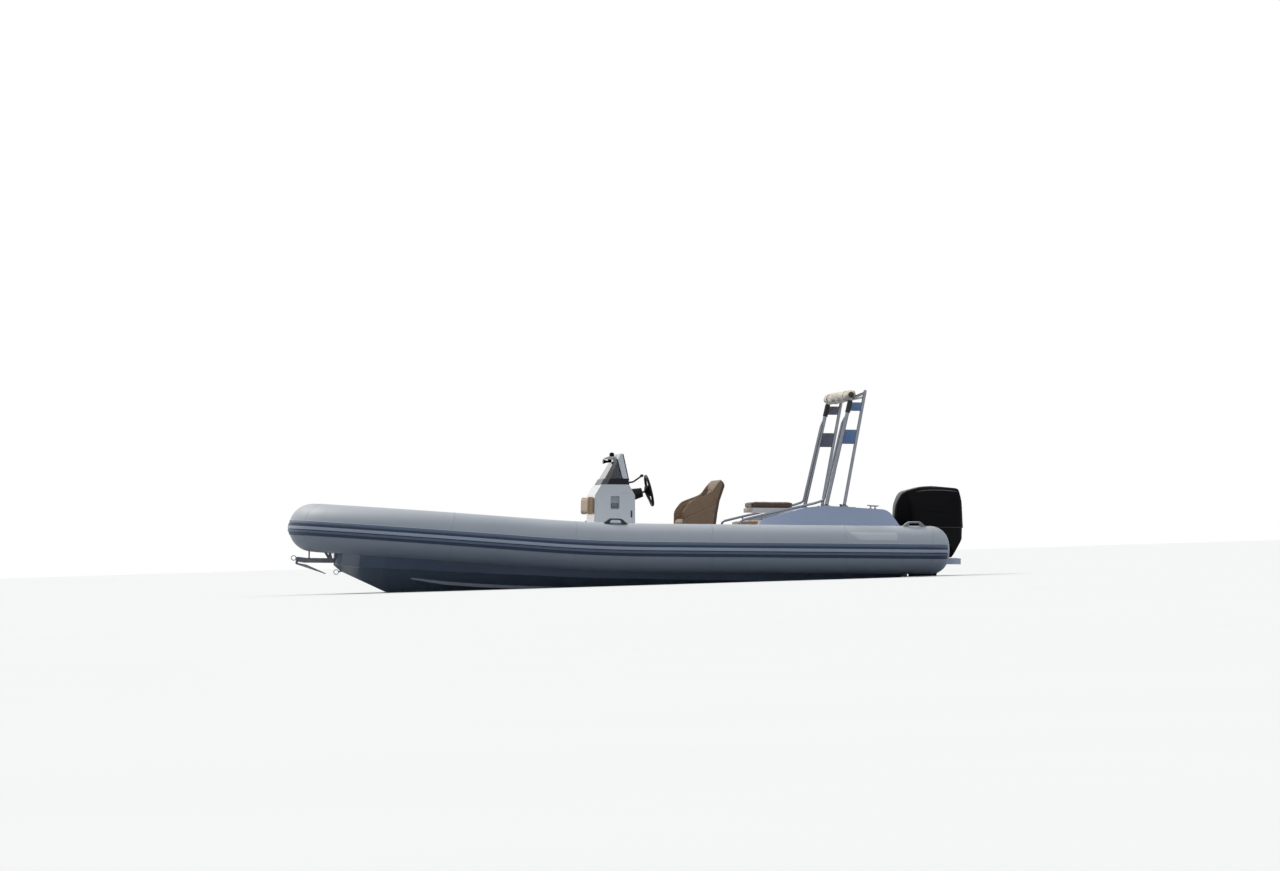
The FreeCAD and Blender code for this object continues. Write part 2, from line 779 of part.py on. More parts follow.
def screen_frame():
    shell = screen_shell(FRAME_T, grow=2.0)
    return shell.common(frame_region())


def console_pad():
    """Backrest of the seat in front of the console."""
    lean = math.degrees(math.atan2(17.0, CONSOLE_KNEE - SOLE_Z))
    corners = (
        (0.0, 740.0, 15.0),
        (CONSOLE_PAD_T, 740.0, 15.0),
        (CONSOLE_PAD_T, 930.0, 15.0),
        (0.0, 930.0, 15.0),
    )
    pad = prism(corners, "XZ", -340.0, 340.0)
    pad.translate(ALONG * (CONSOLE_FRONT + SEAT))
    pad.rotate(Vector(CONSOLE_FRONT, 0, SOLE_Z), ACROSS, -lean)
    return pad


def console_seat():
    corners = (
        (CONSOLE_FRONT + 0.5, SOLE_Z),
        (CONSOLE_FRONT + CONSOLE_SEAT_LENGTH - 40.0, SOLE_Z),
        (CONSOLE_FRONT + CONSOLE_SEAT_LENGTH, CONSOLE_SEAT_Z, 20.0),
        (CONSOLE_FRONT + 0.5, CONSOLE_SEAT_Z),
    )
    return prism(corners, "XZ", -CONSOLE_SEAT_Y, CONSOLE_SEAT_Y)


def console_seat_cushion():
    low = CONSOLE_SEAT_Z + SEAT
    corners = (
        (CONSOLE_FRONT + 6.0, low),
        (CONSOLE_FRONT + CONSOLE_SEAT_LENGTH - 5.0, low, 15.0),
        (CONSOLE_FRONT + CONSOLE_SEAT_LENGTH - 5.0, low + CUSHION_T, 20.0),
        (CONSOLE_FRONT + 6.0, low + CUSHION_T),
    )
    return prism(corners, "XZ", -CONSOLE_SEAT_Y + 5.0, CONSOLE_SEAT_Y - 5.0)


WHEEL_CENTRE = Vector(WHEEL_X, 0, WHEEL_Z)
WHEEL_AXIS = Vector(-math.cos(math.radians(WHEEL_RAKE)), 0, math.sin(math.radians(WHEEL_RAKE)))


def on_wheel_axis(shape):
    """Turn a shape drawn about +Z at the origin onto the steering shaft."""
    placed = shape.copy()
    placed.rotate(Vector(0, 0, 0), ACROSS, -(90 - WHEEL_RAKE))
    placed.translate(WHEEL_CENTRE)
    return placed


def steering_wheel():
    """Rim, three spokes and hub, with the shaft that turns in the helm."""
    hub_face = -WHEEL_DISH
    rim = Part.makeTorus(WHEEL_R, WHEEL_RIM_R)
    hub = Part.makeCone(HELM_R - 6.0, HELM_R - 18.0, 34.0, Vector(0, 0, hub_face))
    shaft = Part.makeCylinder(SHAFT_R, SHAFT_LENGTH, Vector(0, 0, hub_face + 2.0 - SHAFT_LENGTH))
    spokes = []
    for angle in (90.0, 180.0, 270.0):
        points = [
            Vector(20.0, 0, hub_face + 4.0),
            Vector(WHEEL_R, 0, -7.0),
            Vector(WHEEL_R, 0, 7.0),
            Vector(20.0, 0, hub_face + 24.0),
        ]
        face = Part.Face(Part.makePolygon(points + points[:1]))
        spoke = face.translated(ACROSS * -15.0).extrude(ACROSS * 30.0)
        spoke.rotate(Vector(0, 0, 0), UP, angle)
        spokes.append(spoke)
    return on_wheel_axis(fused([rim, hub, shaft] + spokes))


def helm_hub(housing):
    """Steering helm on the console's back, with the bearing of the wheel's shaft."""
    depth = 180.0
    bell = Part.makeCone(HELM_R + 24.0, HELM_R, depth, Vector(0, 0, -HELM_FACE - depth))
    bore_depth = SHAFT_LENGTH
    bore = Part.makeCylinder(SHAFT_R + PIN_PLAY, bore_depth + 1.0, Vector(0, 0, -HELM_FACE - bore_depth))
    return largest(on_wheel_axis(bell.cut(bore)).cut(housing))


def throttle():
    y = -250.0
    base_corners = (
        (-128.0, CONSOLE_TOP, 0.0),
        (-40.0, CONSOLE_TOP, 0.0),
        (-50.0, CONSOLE_TOP + 36.0, 15.0),
        (-120.0, CONSOLE_TOP + 40.0, 18.0),
    )
    base = prism(base_corners, "XZ", y - 30.0, y + 30.0)
    lever_y = y + 22.0
    lever = rod(((-95.0, lever_y, 1078.0), (-240.0, lever_y, 1092.0), (-336.0, lever_y, 1160.0)), 9.0, 60.0)
    grip = rod(((-336.0, y + 40.0, 1160.0), (-336.0, y - 45.0, 1160.0)), 15.0)
    return fused([base, lever, grip])


def nav_light():
    """All-round light and horn on a bracket at the top of the screen."""
    low = SCREEN_TOP - 56.0
    corners = (
        (-60.0, low),
        (96.0, low),
        (96.0, low + 12.0),
        (50.0, low + 30.0, 20.0),
        (-60.0, low + 30.0),
    )
    return largest(prism(corners, "XZ", -55.0, 55.0).cut(screen_block(2.0)))


def light_dome():
    """Black lamp on the bracket and the horn's trumpet below it."""
    low = SCREEN_TOP - 26.0
    profile = (
        (0.0, low),
        (25.0, low),
        (25.0, low + 38.0, 16.0),
        (0.0, low + 44.0),
    )
    face = Part.Face(outline(profile, "XZ", 0.0))
    dome = face.revolve(Vector(0, 0, 0), UP, 360)
    dome.translate(ALONG * 12.0)
    return dome


def horn():
    """Twin-trumpet horn under the bracket."""
    z = SCREEN_TOP - 56.0 - SEAT
    trumpets = []
    for y in (-26.0, 26.0):
        profile = (
            (20.0, 0.0),
            (20.0, 9.0),
            (70.0, 12.0, 30.0),
            (104.0, 24.0),
            (104.0, 0.0),
        )
        face = Part.Face(outline(profile, "XY", 0.0))
        trumpet = face.revolve(Vector(0, 0, 0), ALONG, 360)
        trumpet.translate(Vector(0, y, z - 24.0))
        trumpets.append(trumpet)
    body = box(18.0, 52.0, -30.0, 30.0, z - 30.0, z)
    return fused([body] + trumpets)


def helm_seat_sides():
    corners = (
        (-685.0, 640.0),
        (-688.0, 790.0, 40.0),
        (-766.0, 897.0, 40.0),
        (-981.0, 983.0, 60.0),
        (-1095.0, 1140.0, 22.0),
        (-1139.0, 1070.0, 40.0),
        (-1085.0, 900.0, 60.0),
        (-1041.0, 640.0),
    )
    return both_sides(corners, "XZ", HELM_SEAT_Y - HELM_SEAT_SIDE_T, HELM_SEAT_Y)


def helm_seat_shell():
    """Bucket: wrap-round sides with the back between them."""
    back_corners = (
        (-1000.0, 640.0),
        (-1010.0, 820.0, 80.0),
        (-1075.0, 1128.0, 18.0),
        (-1110.0, 1132.0, 18.0),
        (-1136.0, 1070.0, 40.0),
        (-1083.0, 900.0, 60.0),
        (-1039.0, 640.0),
    )
    inner = HELM_SEAT_Y - HELM_SEAT_SIDE_T
    back = prism(back_corners, "XZ", -inner, inner)
    pan = box(-1039.0, -700.0, -inner, inner, HELM_BASE_Z + SEAT, 645.0)
    foot = box(-1039.0, -686.0, inner, HELM_SEAT_Y, HELM_BASE_Z + SEAT, 645.0)
    return fused(helm_seat_sides() + [back, pan, foot, mirrored(foot)])


def helm_seat_cushion():
    inner = HELM_SEAT_Y - HELM_SEAT_SIDE_T - 2.0
    seat_corners = (
        (-1000.0 + 3.0, 645.0 + SEAT),
        (-690.0, 645.0 + SEAT, 15.0),
        (-690.0, 705.0, 25.0),
        (-1000.0 + 2.0, 695.0),
    )
    return prism(seat_corners, "XZ", -inner, inner)


def helm_seat_base():
    corners = (
        (HELM_BASE_FRONT - 40.0, SOLE_Z),
        (HELM_BASE_FRONT, HELM_BASE_Z),
        (HELM_BASE_BACK, HELM_BASE_Z),
        (HELM_BASE_BACK + 20.0, SOLE_Z),
    )
    return prism(corners, "XZ", -HELM_BASE_Y, HELM_BASE_Y)


def bench():
    """Aft seat and the deck behind it, up to the motor well."""
    toe = 60.0
    corners = (
        (BENCH_FRONT - toe, SOLE_Z),
        (BENCH_FRONT - toe, SOLE_Z + 90.0, 20.0),
        (BENCH_FRONT, SOLE_Z + 140.0, 40.0),
        (BENCH_FRONT, BENCH_Z, 18.0),
        (REAR_DECK_FRONT, BENCH_Z, 8.0),
        (REAR_DECK_FRONT, REAR_DECK_Z, 15.0),
        (COCKPIT_BACK, REAR_DECK_Z, 20.0),
        (COCKPIT_BACK, SOLE_Z),
    )
    return prism(corners, "XZ", -COAMING_INNER_Y, COAMING_INNER_Y)


def bench_cushion():
    wide = COAMING_INNER_Y - 6.0
    corners = (
        (BENCH_FRONT - 4.0, BENCH_Z + SEAT, 10.0),
        (BENCH_FRONT - 4.0, BENCH_CUSHION_TOP, 18.0),
        (REAR_DECK_FRONT + 12.0, BENCH_CUSHION_TOP, 10.0),
        (REAR_DECK_FRONT + 12.0, BENCH_Z + SEAT),
    )
    return prism(corners, "XZ", -wide, wide)


BACKREST_HINGE_X = BACKREST_BACK - HINGE_OFFSET
BACKREST_HINGE_Z = BACKREST_Z + BACKREST_BOARD_T / 2
BACKREST_HINGE_YS = (-180.0, 180.0)


def backrest_board():
    corners = (
        (BACKREST_FRONT, -BACKREST_Y, 45.0),
        (BACKREST_FRONT, BACKREST_Y, 45.0),
        (BACKREST_BACK, BACKREST_Y, 45.0),
        (BACKREST_BACK, -BACKREST_Y, 45.0),
    )
    board = prism(corners, "XY", BACKREST_Z, BACKREST_Z + BACKREST_BOARD_T)
    arms = hinge_arms(BACKREST_HINGE_X, BACKREST_HINGE_Z, BACKREST_BACK, BACKREST_HINGE_YS, BACKREST_BOARD_T)
    return fused([board] + arms)


def backrest_hinge():
    lugs = hinge_lugs(BACKREST_HINGE_X, BACKREST_HINGE_Z, REAR_DECK_Z, BACKREST_HINGE_YS)
    return Part.makeCompound(lugs)


def backrest_cushion():
    low = BACKREST_Z + BACKREST_BOARD_T + SEAT
    corners = (
        (BACKREST_FRONT, -BACKREST_Y, 45.0),
        (BACKREST_FRONT, BACKREST_Y, 45.0),
        (BACKREST_BACK, BACKREST_Y, 45.0),
        (BACKREST_BACK, -BACKREST_Y, 45.0),
    )
    return prism(corners, "XY", low, low + BACKREST_PAD_T)


def leg_x(leg, z):
    foot_x, top_x, top_z = leg
    return foot_x + (top_x - foot_x) * (z - ARCH_FOOT_Z) / (top_z - ARCH_FOOT_Z)


def arch_side(quarter):
    """Port frame of the roll bar: two raked legs, foot flanges and two gusset plates."""
    y = ARCH_Y
    front_foot_x, front_top_x, front_top_z = FRONT_LEG
    rear_foot_x, rear_top_x, rear_top_z = REAR_LEG
    front = rod(((front_foot_x, y, ARCH_FOOT_Z), (front_top_x, y, front_top_z)), FRONT_LEG_R)
    rear = rod(((rear_foot_x, y, ARCH_FOOT_Z), (rear_top_x, y, rear_top_z)), REAR_LEG_R)
    cap = Part.makeSphere(REAR_LEG_R, Vector(rear_top_x, y, rear_top_z))
    tie = rod(((rear_top_x, y, rear_top_z - 16.0), (front_top_x, y, front_top_z - 14.0)), ARCH_TIE_R)
    flanges = [
        cylinder((x, y, ARCH_FOOT_Z - 40.0), UP, ARCH_FLANGE_R, 40.0).cut(quarter)
        for x in (front_foot_x, rear_foot_x)
    ]
    plates = []
    for bottom, top in ARCH_PLATES:
        corners = (
            (leg_x(FRONT_LEG, bottom), bottom),
            (leg_x(FRONT_LEG, top), top),
            (leg_x(REAR_LEG, top), top),
            (leg_x(REAR_LEG, bottom), bottom),
        )
        plates.append(prism(corners, "XZ", y - ARCH_PLATE_T / 2, y + ARCH_PLATE_T / 2))
    return fused([front, rear, cap, tie] + flanges + plates)


def arch_top(frames):
    """Tubes across the top of the roll bar."""
    bars = []
    for x, z, radius in (
        (FRONT_LEG[1], FRONT_LEG[2], FRONT_BAR_R),
        (leg_x(REAR_LEG, REAR_LEG[2] - 60.0), REAR_LEG[2] - 60.0, REAR_BAR_R),
    ):
        bars.append(largest(rod(((x, -ARCH_Y, z), (x, ARCH_Y, z)), radius).cut(frames)))
    return Part.makeCompound(bars)


def sleeve(frame, bars):
    """Black sleeve clamped round the top of a front leg."""
    start = (leg_x(FRONT_LEG, SLEEVE_BOTTOM), ARCH_Y, SLEEVE_BOTTOM)
    end = (leg_x(FRONT_LEG, SLEEVE_TOP), ARCH_Y, SLEEVE_TOP)
    return largest(rod((start, end), SLEEVE_R).cut([frame, bars]))


def canvas_roll(arch):
    """Sun top rolled up round the front tube of the roll bar and tied to it."""
    x = FRONT_LEG[1]
    z = FRONT_LEG[2] + CANVAS_LIFT
    return largest(rod(((x, -CANVAS_Y, z), (x, CANVAS_Y, z)), CANVAS_R).cut(arch))


def hand_rail(quarter, frame, liner):
    """Port rail from the cockpit's side up the coaming and on up the front leg."""
    y = RAIL_Y
    top_z = SLEEVE_BOTTOM - 110.0
    route = (
        (RAIL_FOOT_X, y, TUBE_Z + LINER_TOP - 5.0),
        (RAIL_FOOT_X - 8.0, y, 690.0),
        (-1480.0, y, 746.0),
        (-2030.0, y, 874.0),
        (-2132.0, y, 908.0),
        (leg_x(FRONT_LEG, 1050.0) + 30.0, y, 1050.0),
        (leg_x(FRONT_LEG, top_z) + 26.0, y, top_z),
        (leg_x(FRONT_LEG, top_z), ARCH_Y, top_z + 60.0),
    )
    bends = (40.0, 60.0, 60.0, 60.0, 60.0, 30.0)
    rail = rod(route, RAIL_R, bends)
    post = cylinder((-1480.0, y, 660.0), UP, 8.0, 86.0)
    clip_x = leg_x(FRONT_LEG, RAIL_CLIP_Z)
    clip = rod(((clip_x + 30.0, y, RAIL_CLIP_Z), (clip_x, ARCH_Y, RAIL_CLIP_Z)), 7.0)
    return largest(fused([rail, post, clip]).cut([quarter, frame, liner]))


def grab_handle(x, clearance):
    """Moulded rubber handle just outboard of the port tube's crown, seated where it bends up."""
    half = HANDLE_LENGTH / 2
    corners = (
        (-half, TUBE_TOP - 6.0),
        (-half, TUBE_TOP + 4.0),
        (-half + 55.0, TUBE_TOP + HANDLE_H, 60.0),
        (half - 55.0, TUBE_TOP + HANDLE_H, 60.0),
        (half, TUBE_TOP + 4.0),
        (half, TUBE_TOP - 6.0),
    )
    hole = (
        (-half + HANDLE_FOOT, TUBE_TOP - 10.0),
        (-half + HANDLE_FOOT + 16.0, TUBE_TOP + HANDLE_H - HANDLE_T, 22.0),
        (half - HANDLE_FOOT - 16.0, TUBE_TOP + HANDLE_H - HANDLE_T, 22.0),
        (half - HANDLE_FOOT, TUBE_TOP - 10.0),
    )
    bar = prism(corners, "XZ", TUBE_Y - HANDLE_Y, TUBE_Y + HANDLE_Y)
    bar = bar.cut(prism(hole, "XZ", TUBE_Y - HANDLE_Y * 2, TUBE_Y + HANDLE_Y * 2))
    bar.rotate(Vector(0, TUBE_Y, TUBE_Z), ALONG, -HANDLE_TURN)
    run = max(0.0, x - SHEER_START)
    bar.rotate(Vector(0, 0, TUBE_TOP), ACROSS, -math.degrees(run / SHEER_R))
    bar.translate(Vector(x, 0, run ** 2 / (2 * SHEER_R)))
    return bar.cut(clearance)


def eye(centre, root, axis, stem_r):
    """Flat ring with a straight bore, on a short stem."""
    centre = Vector(*centre)
    start = centre - axis * (EYE_T / 2)
    ring = Part.makeCylinder(EYE_BORE_R + EYE_WALL, EYE_T, start, axis)
    reach = Vector(*root) - centre
    outward = Vector(reach).normalize()
    stem_start = centre + outward * EYE_BORE_R
    stem = disc(stem_start, outward, stem_r).extrude(Vector(*root) - stem_start)
    bore = Part.makeCylinder(EYE_BORE_R, EYE_T * 3, start - axis * EYE_T, axis)
    return fused([ring, stem]).cut(bore)


def bow_eye(body):
    """Towing eye low on the stem."""
    centre = BOW_EYE
    root = (centre[0] - 70.0, 0.0, centre[2] + 12.0)
    return largest(eye(centre, root, ACROSS, 8.0).cut(body))


def stern_eyes():
    """Towing eyes on the transom, each on a round plate."""
    eyes = []
    for side in (1, -1):
        x, y, z = STERN_EYE
        plate = cylinder((TRANSOM_X - 6.0, side * y, z), ALONG, 24.0, 6.0)
        ring = eye((x, side * y, z), (TRANSOM_X - 3.0, side * y, z), ACROSS, 5.0)
        eyes.append(fused([plate, ring]))
    return Part.makeCompound(eyes)


def bow_roller(stem, clearance, liner):
    """Channel under the tube's nose, with a roller at its tip and straps up to the tube."""
    y = ROLLER_Y
    base = STEM_X - 40.0
    profile = (
        (base, 213.0),
        (base, 262.0),
        (ROLLER_TIP_X - 40.0, 264.0, 20.0),
        (ROLLER_TIP_X, 250.0, 14.0),
        (ROLLER_TIP_X - 6.0, 222.0, 14.0),
        (ROLLER_TIP_X - 70.0, 213.0, 20.0),
    )
    cheeks = both_sides(profile, "XZ", y, y + CHEEK_T)
    floor = box(base, ROLLER_TIP_X - 80.0, -y, y, 213.0, 219.0)
    roller = cylinder((ROLLER_TIP_X - 36.0, -y, 236.0), ACROSS, 15.0, 2 * y)
    straps = []
    for top_x in (3067.0, 2984.0):
        corners = (
            (STEM_X + 6.0, 216.0),
            (STEM_X + 34.0, 216.0),
            (top_x + 11.0, 420.0),
            (top_x - 11.0, 420.0),
        )
        straps += both_sides(corners, "XZ", y + CHEEK_T, y + 2 * CHEEK_T)
    pin = cylinder((3183.0, y + CHEEK_T / 2, 250.0), UP, ROLLER_PIN_R, 150.0)
    whole = fused(cheeks + [floor, roller, pin] + straps).cut(clearance + [stem, liner])
    return largest(whole)


def anchor():
    """Stowed anchor: shank in the channel, crown before the roller, fluke below pointing aft."""
    front = ROLLER_TIP_X - 4.0
    shank_corners = (
        (3010.0, 220.0),
        (3010.0, 240.0, 8.0),
        (front - 56.0, 268.0, 40.0),
        (front + 20.0, 276.0, 16.0),
        (front + 28.0, 196.0, 12.0),
        (front, 196.0),
        (front, 254.0, 12.0),
        (front - 56.0, 254.0, 30.0),
        (front - 96.0, 220.0),
    )
    shank = prism(shank_corners, "XZ", -6.0, 6.0)
    tip = Vector(3006.0, 0, 96.0)
    crown = Vector(front + 20.0, 0, 196.0)
    blades = []
    for side in (1, -1):
        wing = Vector(front - 78.0, side * 92.0, 186.0)
        corner = Vector(front, side * 26.0, 200.0)
        for triangle in ((tip, crown, wing), (crown, corner, wing)):
            face = Part.Face(Part.makePolygon(list(triangle) + [triangle[0]]))
            blades.append(face.extrude(UP * FLUKE_T))
    ring = Part.makeTorus(24.0, 4.0, Vector(front + 46.0, 0, 262.0), ACROSS)
    return fused([shank] + blades + [ring])


def cowl_solid():
    """Upper engine cover: side outline, plan outline and front outline cut to one body."""
    side = prism(
        (
            (ENGINE_FRONT - 130.0, 560.0),
            (ENGINE_FRONT, 719.0, 30.0),
            (ENGINE_FRONT - 8.0, 880.0, 180.0),
            (ENGINE_FRONT - 72.0, 1013.0, 100.0),
            (ENGINE_FRONT - 280.0, 1071.0, 300.0),
            (ENGINE_FRONT - 392.0, ENGINE_TOP, 400.0),
            (ENGINE_BACK + 60.0, 1056.0, 20.0),
            (ENGINE_BACK + 20.0, 920.0, 300.0),
            (ENGINE_BACK, 640.0, 60.0),
            (ENGINE_BACK + 4.0, 540.0),
        ),
        "XZ", -COWL_Y - 10.0, COWL_Y + 10.0)
    plan = symmetric_prism(
        (
            (ENGINE_FRONT, 105.0, 100.0),
            (ENGINE_FRONT - 175.0, COWL_Y, 170.0),
            (ENGINE_FRONT - 475.0, COWL_Y, 260.0),
            (ENGINE_BACK, 160.0, 90.0),
        ),
        "XY", 300.0, 1100.0)
    front = symmetric_prism(
        (
            (300.0, 150.0, 40.0),
            (640.0, COWL_Y, 160.0),
            (900.0, COWL_Y - 14.0, 120.0),
            (ENGINE_TOP, 160.0, 90.0),
        ),
        "YZ", ENGINE_BACK - 10.0, ENGINE_FRONT + 10.0)
    return side.common(plan).common(front)


def engine_covers():
    """Cowl above the split line and the cover below it."""
    wide = COWL_Y + 50.0
    seam_z = COWL_SPLIT_Z + COWL_SEAM
    above = box(ENGINE_BACK - 10.0, ENGINE_FRONT + 10.0, -wide, wide, seam_z, ENGINE_TOP + 100.0)
    cowl = cowl_solid().common(above)
    lower_side = prism(
        (
            (ENGINE_FRONT - 92.0, COWL_SPLIT_Z),
            (ENGINE_FRONT - 55.0, 560.0, 40.0),
            (ENGINE_FRONT - 80.0, LEG_TOP, 30.0),
            (ENGINE_BACK + 125.0, LEG_TOP, 20.0),
            (ENGINE_BACK + 12.0, 520.0, 60.0),
            (ENGINE_BACK + 8.0, COWL_SPLIT_Z),
        ),
        "XZ", -wide, wide)
    plan = symmetric_prism(
        (
            (ENGINE_FRONT - 52.0, 70.0, 60.0),
            (ENGINE_FRONT - 170.0, LOWER_COVER_Y, 120.0),
            (ENGINE_FRONT - 480.0, LOWER_COVER_Y, 200.0),
            (ENGINE_BACK + 2.0, 108.0, 70.0),
        ),
        "XY", 300.0, COWL_SPLIT_Z + 10.0)
    front = symmetric_prism(
        (
            (320.0, 120.0, 30.0),
            (560.0, LOWER_COVER_Y, 60.0),
            (COWL_SPLIT_Z, LOWER_COVER_Y, 0.0),
        ),
        "YZ", ENGINE_BACK - 10.0, ENGINE_FRONT + 10.0)
    lower = lower_side.common(plan).common(front)
    return cowl, lower


def leg(casing):
    """Drive shaft housing with its yokes and the plate above the propeller, seated on the gearcase."""
    def foil(z, front, back, half):
        nose = front - half
        first = Part.Arc(Vector(nose, half, z), Vector(front, 0, z), Vector(nose, -half, z)).toShape()
        tail_half = half * 0.18
        edges = [
            first,
            Part.LineSegment(Vector(nose, -half, z), Vector(back, -tail_half, z)).toShape(),
            Part.LineSegment(Vector(back, -tail_half, z), Vector(back, tail_half, z)).toShape(),
            Part.LineSegment(Vector(back, tail_half, z), Vector(nose, half, z)).toShape(),
        ]
        return Part.Wire(edges)

    def lofted(sections):
        return Part.makeLoft([foil(*section) for section in sections], True, True)

    shoulder = (-30.0, LEG_NOSE, STEER_X - 305.0, LEG_Y)
    upper = lofted(((LEG_TOP, LEG_NOSE, STEER_X - 405.0, 95.0), shoulder))
    joint = lofted((shoulder, (-62.0, LEG_NOSE, STEER_X - 305.0, LEG_Y)))
    lower = lofted((
        (-62.0, STEER_X + 33.0, STEER_X - 305.0, LEG_Y),
        (PLATE_Z, STEER_X + 15.0, STEER_X - 325.0, 48.0),
        (PROP_Z, STEER_X - 25.0, STEER_X - 305.0, 36.0),
    ))
    plate = prism(
        (
            (STEER_X + 25.0, 0.0, 0.0),
            (STEER_X - 65.0, 95.0, 80.0),
            (STEER_X - 465.0, 120.0, 60.0),
            (STEER_X - 505.0, 0.0, 0.0),
            (STEER_X - 465.0, -120.0, 60.0),
            (STEER_X - 65.0, -95.0, 80.0),
        ),
        "XY", PLATE_Z - 6.0, PLATE_Z + 6.0)
    yokes = []
    for base in (SWIVEL_TOP + YOKE_GAP, SWIVEL_BOTTOM - YOKE_GAP - YOKE_T):
        yokes.append(cylinder((STEER_X, 0.0, base), UP, STEER_TUBE_R, YOKE_T))
        yokes.append(box(STEER_X - STEER_TUBE_R - 120.0, STEER_X, -34.0, 34.0, base, base + YOKE_T))
    pin = cylinder((STEER_X, 0.0, SWIVEL_BOTTOM - YOKE_GAP - 2.0), UP, STEER_PIN_R,
                   SWIVEL_TOP - SWIVEL_BOTTOM + 2 * YOKE_GAP + 4.0)
    return largest(fused([upper, joint, lower, plate, pin] + yokes).cut(casing))


def gearcase():
    """Bullet-shaped housing of the propeller shaft with its skeg."""
    nose_x = STEER_X + 100.0
    length = nose_x - PROP_X
    profile = (
        (nose_x, 0.0),
        (nose_x - 60.0, 42.0, 60.0),
        (nose_x - 150.0, GEARCASE_R, 200.0),
        (PROP_X + 110.0, GEARCASE_R, 200.0),
        (PROP_X + 3.0, PROP_HUB_R),
        (PROP_X + 3.0, 0.0),
    )
    face = Part.Face(outline(profile, "XY", PROP_Z))
    bullet = face.revolve(Vector(0, 0, PROP_Z), ALONG, 360)
    skeg_corners = (
        (STEER_X - 15.0, PROP_Z - 40.0),
        (STEER_X - 130.0, SKEG_Z, 30.0),
        (STEER_X - 255.0, SKEG_Z, 30.0),
        (STEER_X - 305.0, PROP_Z - 40.0),
    )
    skeg = prism(skeg_corners, "XZ", -6.0, 6.0)
    shaft = cylinder((PROP_X - PROP_LENGTH, 0.0, PROP_Z), ALONG, PROP_SHAFT_R, PROP_LENGTH + 10.0)
    return fused([bullet, skeg, shaft])


def blade_section(radius, chord, thickness, skew):
    """Lens-shaped section of a blade, turned to the propeller's pitch at its radius."""
    turn = math.atan2(PROP_PITCH, math.tau * radius)
    ahead = Vector(math.sin(turn), math.cos(turn), 0)
    across = Vector(math.cos(turn), -math.sin(turn), 0)
    middle = Vector(0, skew, radius)
    lead = middle + ahead * (chord / 2)
    trail = middle - ahead * (chord / 2)
    back = Part.Arc(lead, middle + across * (thickness / 2), trail).toShape()
    face = Part.Arc(trail, middle - across * (thickness / 2), lead).toShape()
    return Part.Wire([back, face])


def propeller():
    hub_profile = (
        (PROP_X, 0.0),
        (PROP_X, PROP_HUB_R),
        (PROP_X - PROP_LENGTH, PROP_HUB_R - 8.0),
        (PROP_X - PROP_LENGTH, 0.0),
    )
    hub_face = Part.Face(outline(hub_profile, "XY", PROP_Z))
    hub = hub_face.revolve(Vector(0, 0, PROP_Z), ALONG, 360)
    sections = [blade_section(*section) for section in BLADE_SECTIONS]
    root = Part.makeLoft(sections, True, True)
    root.translate(Vector(PROP_X - PROP_LENGTH / 2, 0, PROP_Z))
    blades = []
    for turn in (0.0, 120.0, 240.0):
        blade = root.copy()
        blade.rotate(Vector(PROP_X, 0, PROP_Z), ALONG, turn)
        blades.append(blade)
    bore = cylinder((PROP_X - 2 * PROP_LENGTH, 0.0, PROP_Z), ALONG, PROP_SHAFT_R + PIN_PLAY, 3 * PROP_LENGTH)
    return fused([hub] + blades).cut(bore)


def swivel_bracket():
    """Carries the steering tube; tilts about the tube through the clamp brackets."""
    post = cylinder((STEER_X, 0.0, SWIVEL_BOTTOM), UP, STEER_TUBE_R, SWIVEL_TOP - SWIVEL_BOTTOM)
    web_corners = (
        (STEER_X, SWIVEL_TOP - 6.0),
        (TILT_X, TILT_Z + TILT_TUBE_R, 12.0),
        (TILT_X + 6.0, TILT_Z - 40.0, 30.0),
        (STEER_X + STEER_TUBE_R + 20.0, 120.0, 60.0),
        (STEER_X + STEER_TUBE_R + 8.0, SWIVEL_BOTTOM + 20.0, 12.0),
        (STEER_X, SWIVEL_BOTTOM + 20.0),
    )
    web = prism(web_corners, "XZ", -42.0, 42.0)
    inner = CLAMP_Y - CLAMP_T - 2.0
    cross = cylinder((TILT_X, -inner, TILT_Z), ACROSS, TILT_TUBE_R + 12.0, 2 * inner)
    reach = CLAMP_Y + 10.0
    tilt_pin = cylinder((TILT_X, -reach, TILT_Z), ACROSS, TILT_TUBE_R - 6.0, 2 * reach)
    bore_length = SWIVEL_TOP - SWIVEL_BOTTOM + 2.0
    bore = cylinder((STEER_X, 0.0, SWIVEL_BOTTOM - 1.0), UP, STEER_PIN_R + PIN_PLAY, bore_length)
    return fused([post, web, cross, tilt_pin]).cut(bore)


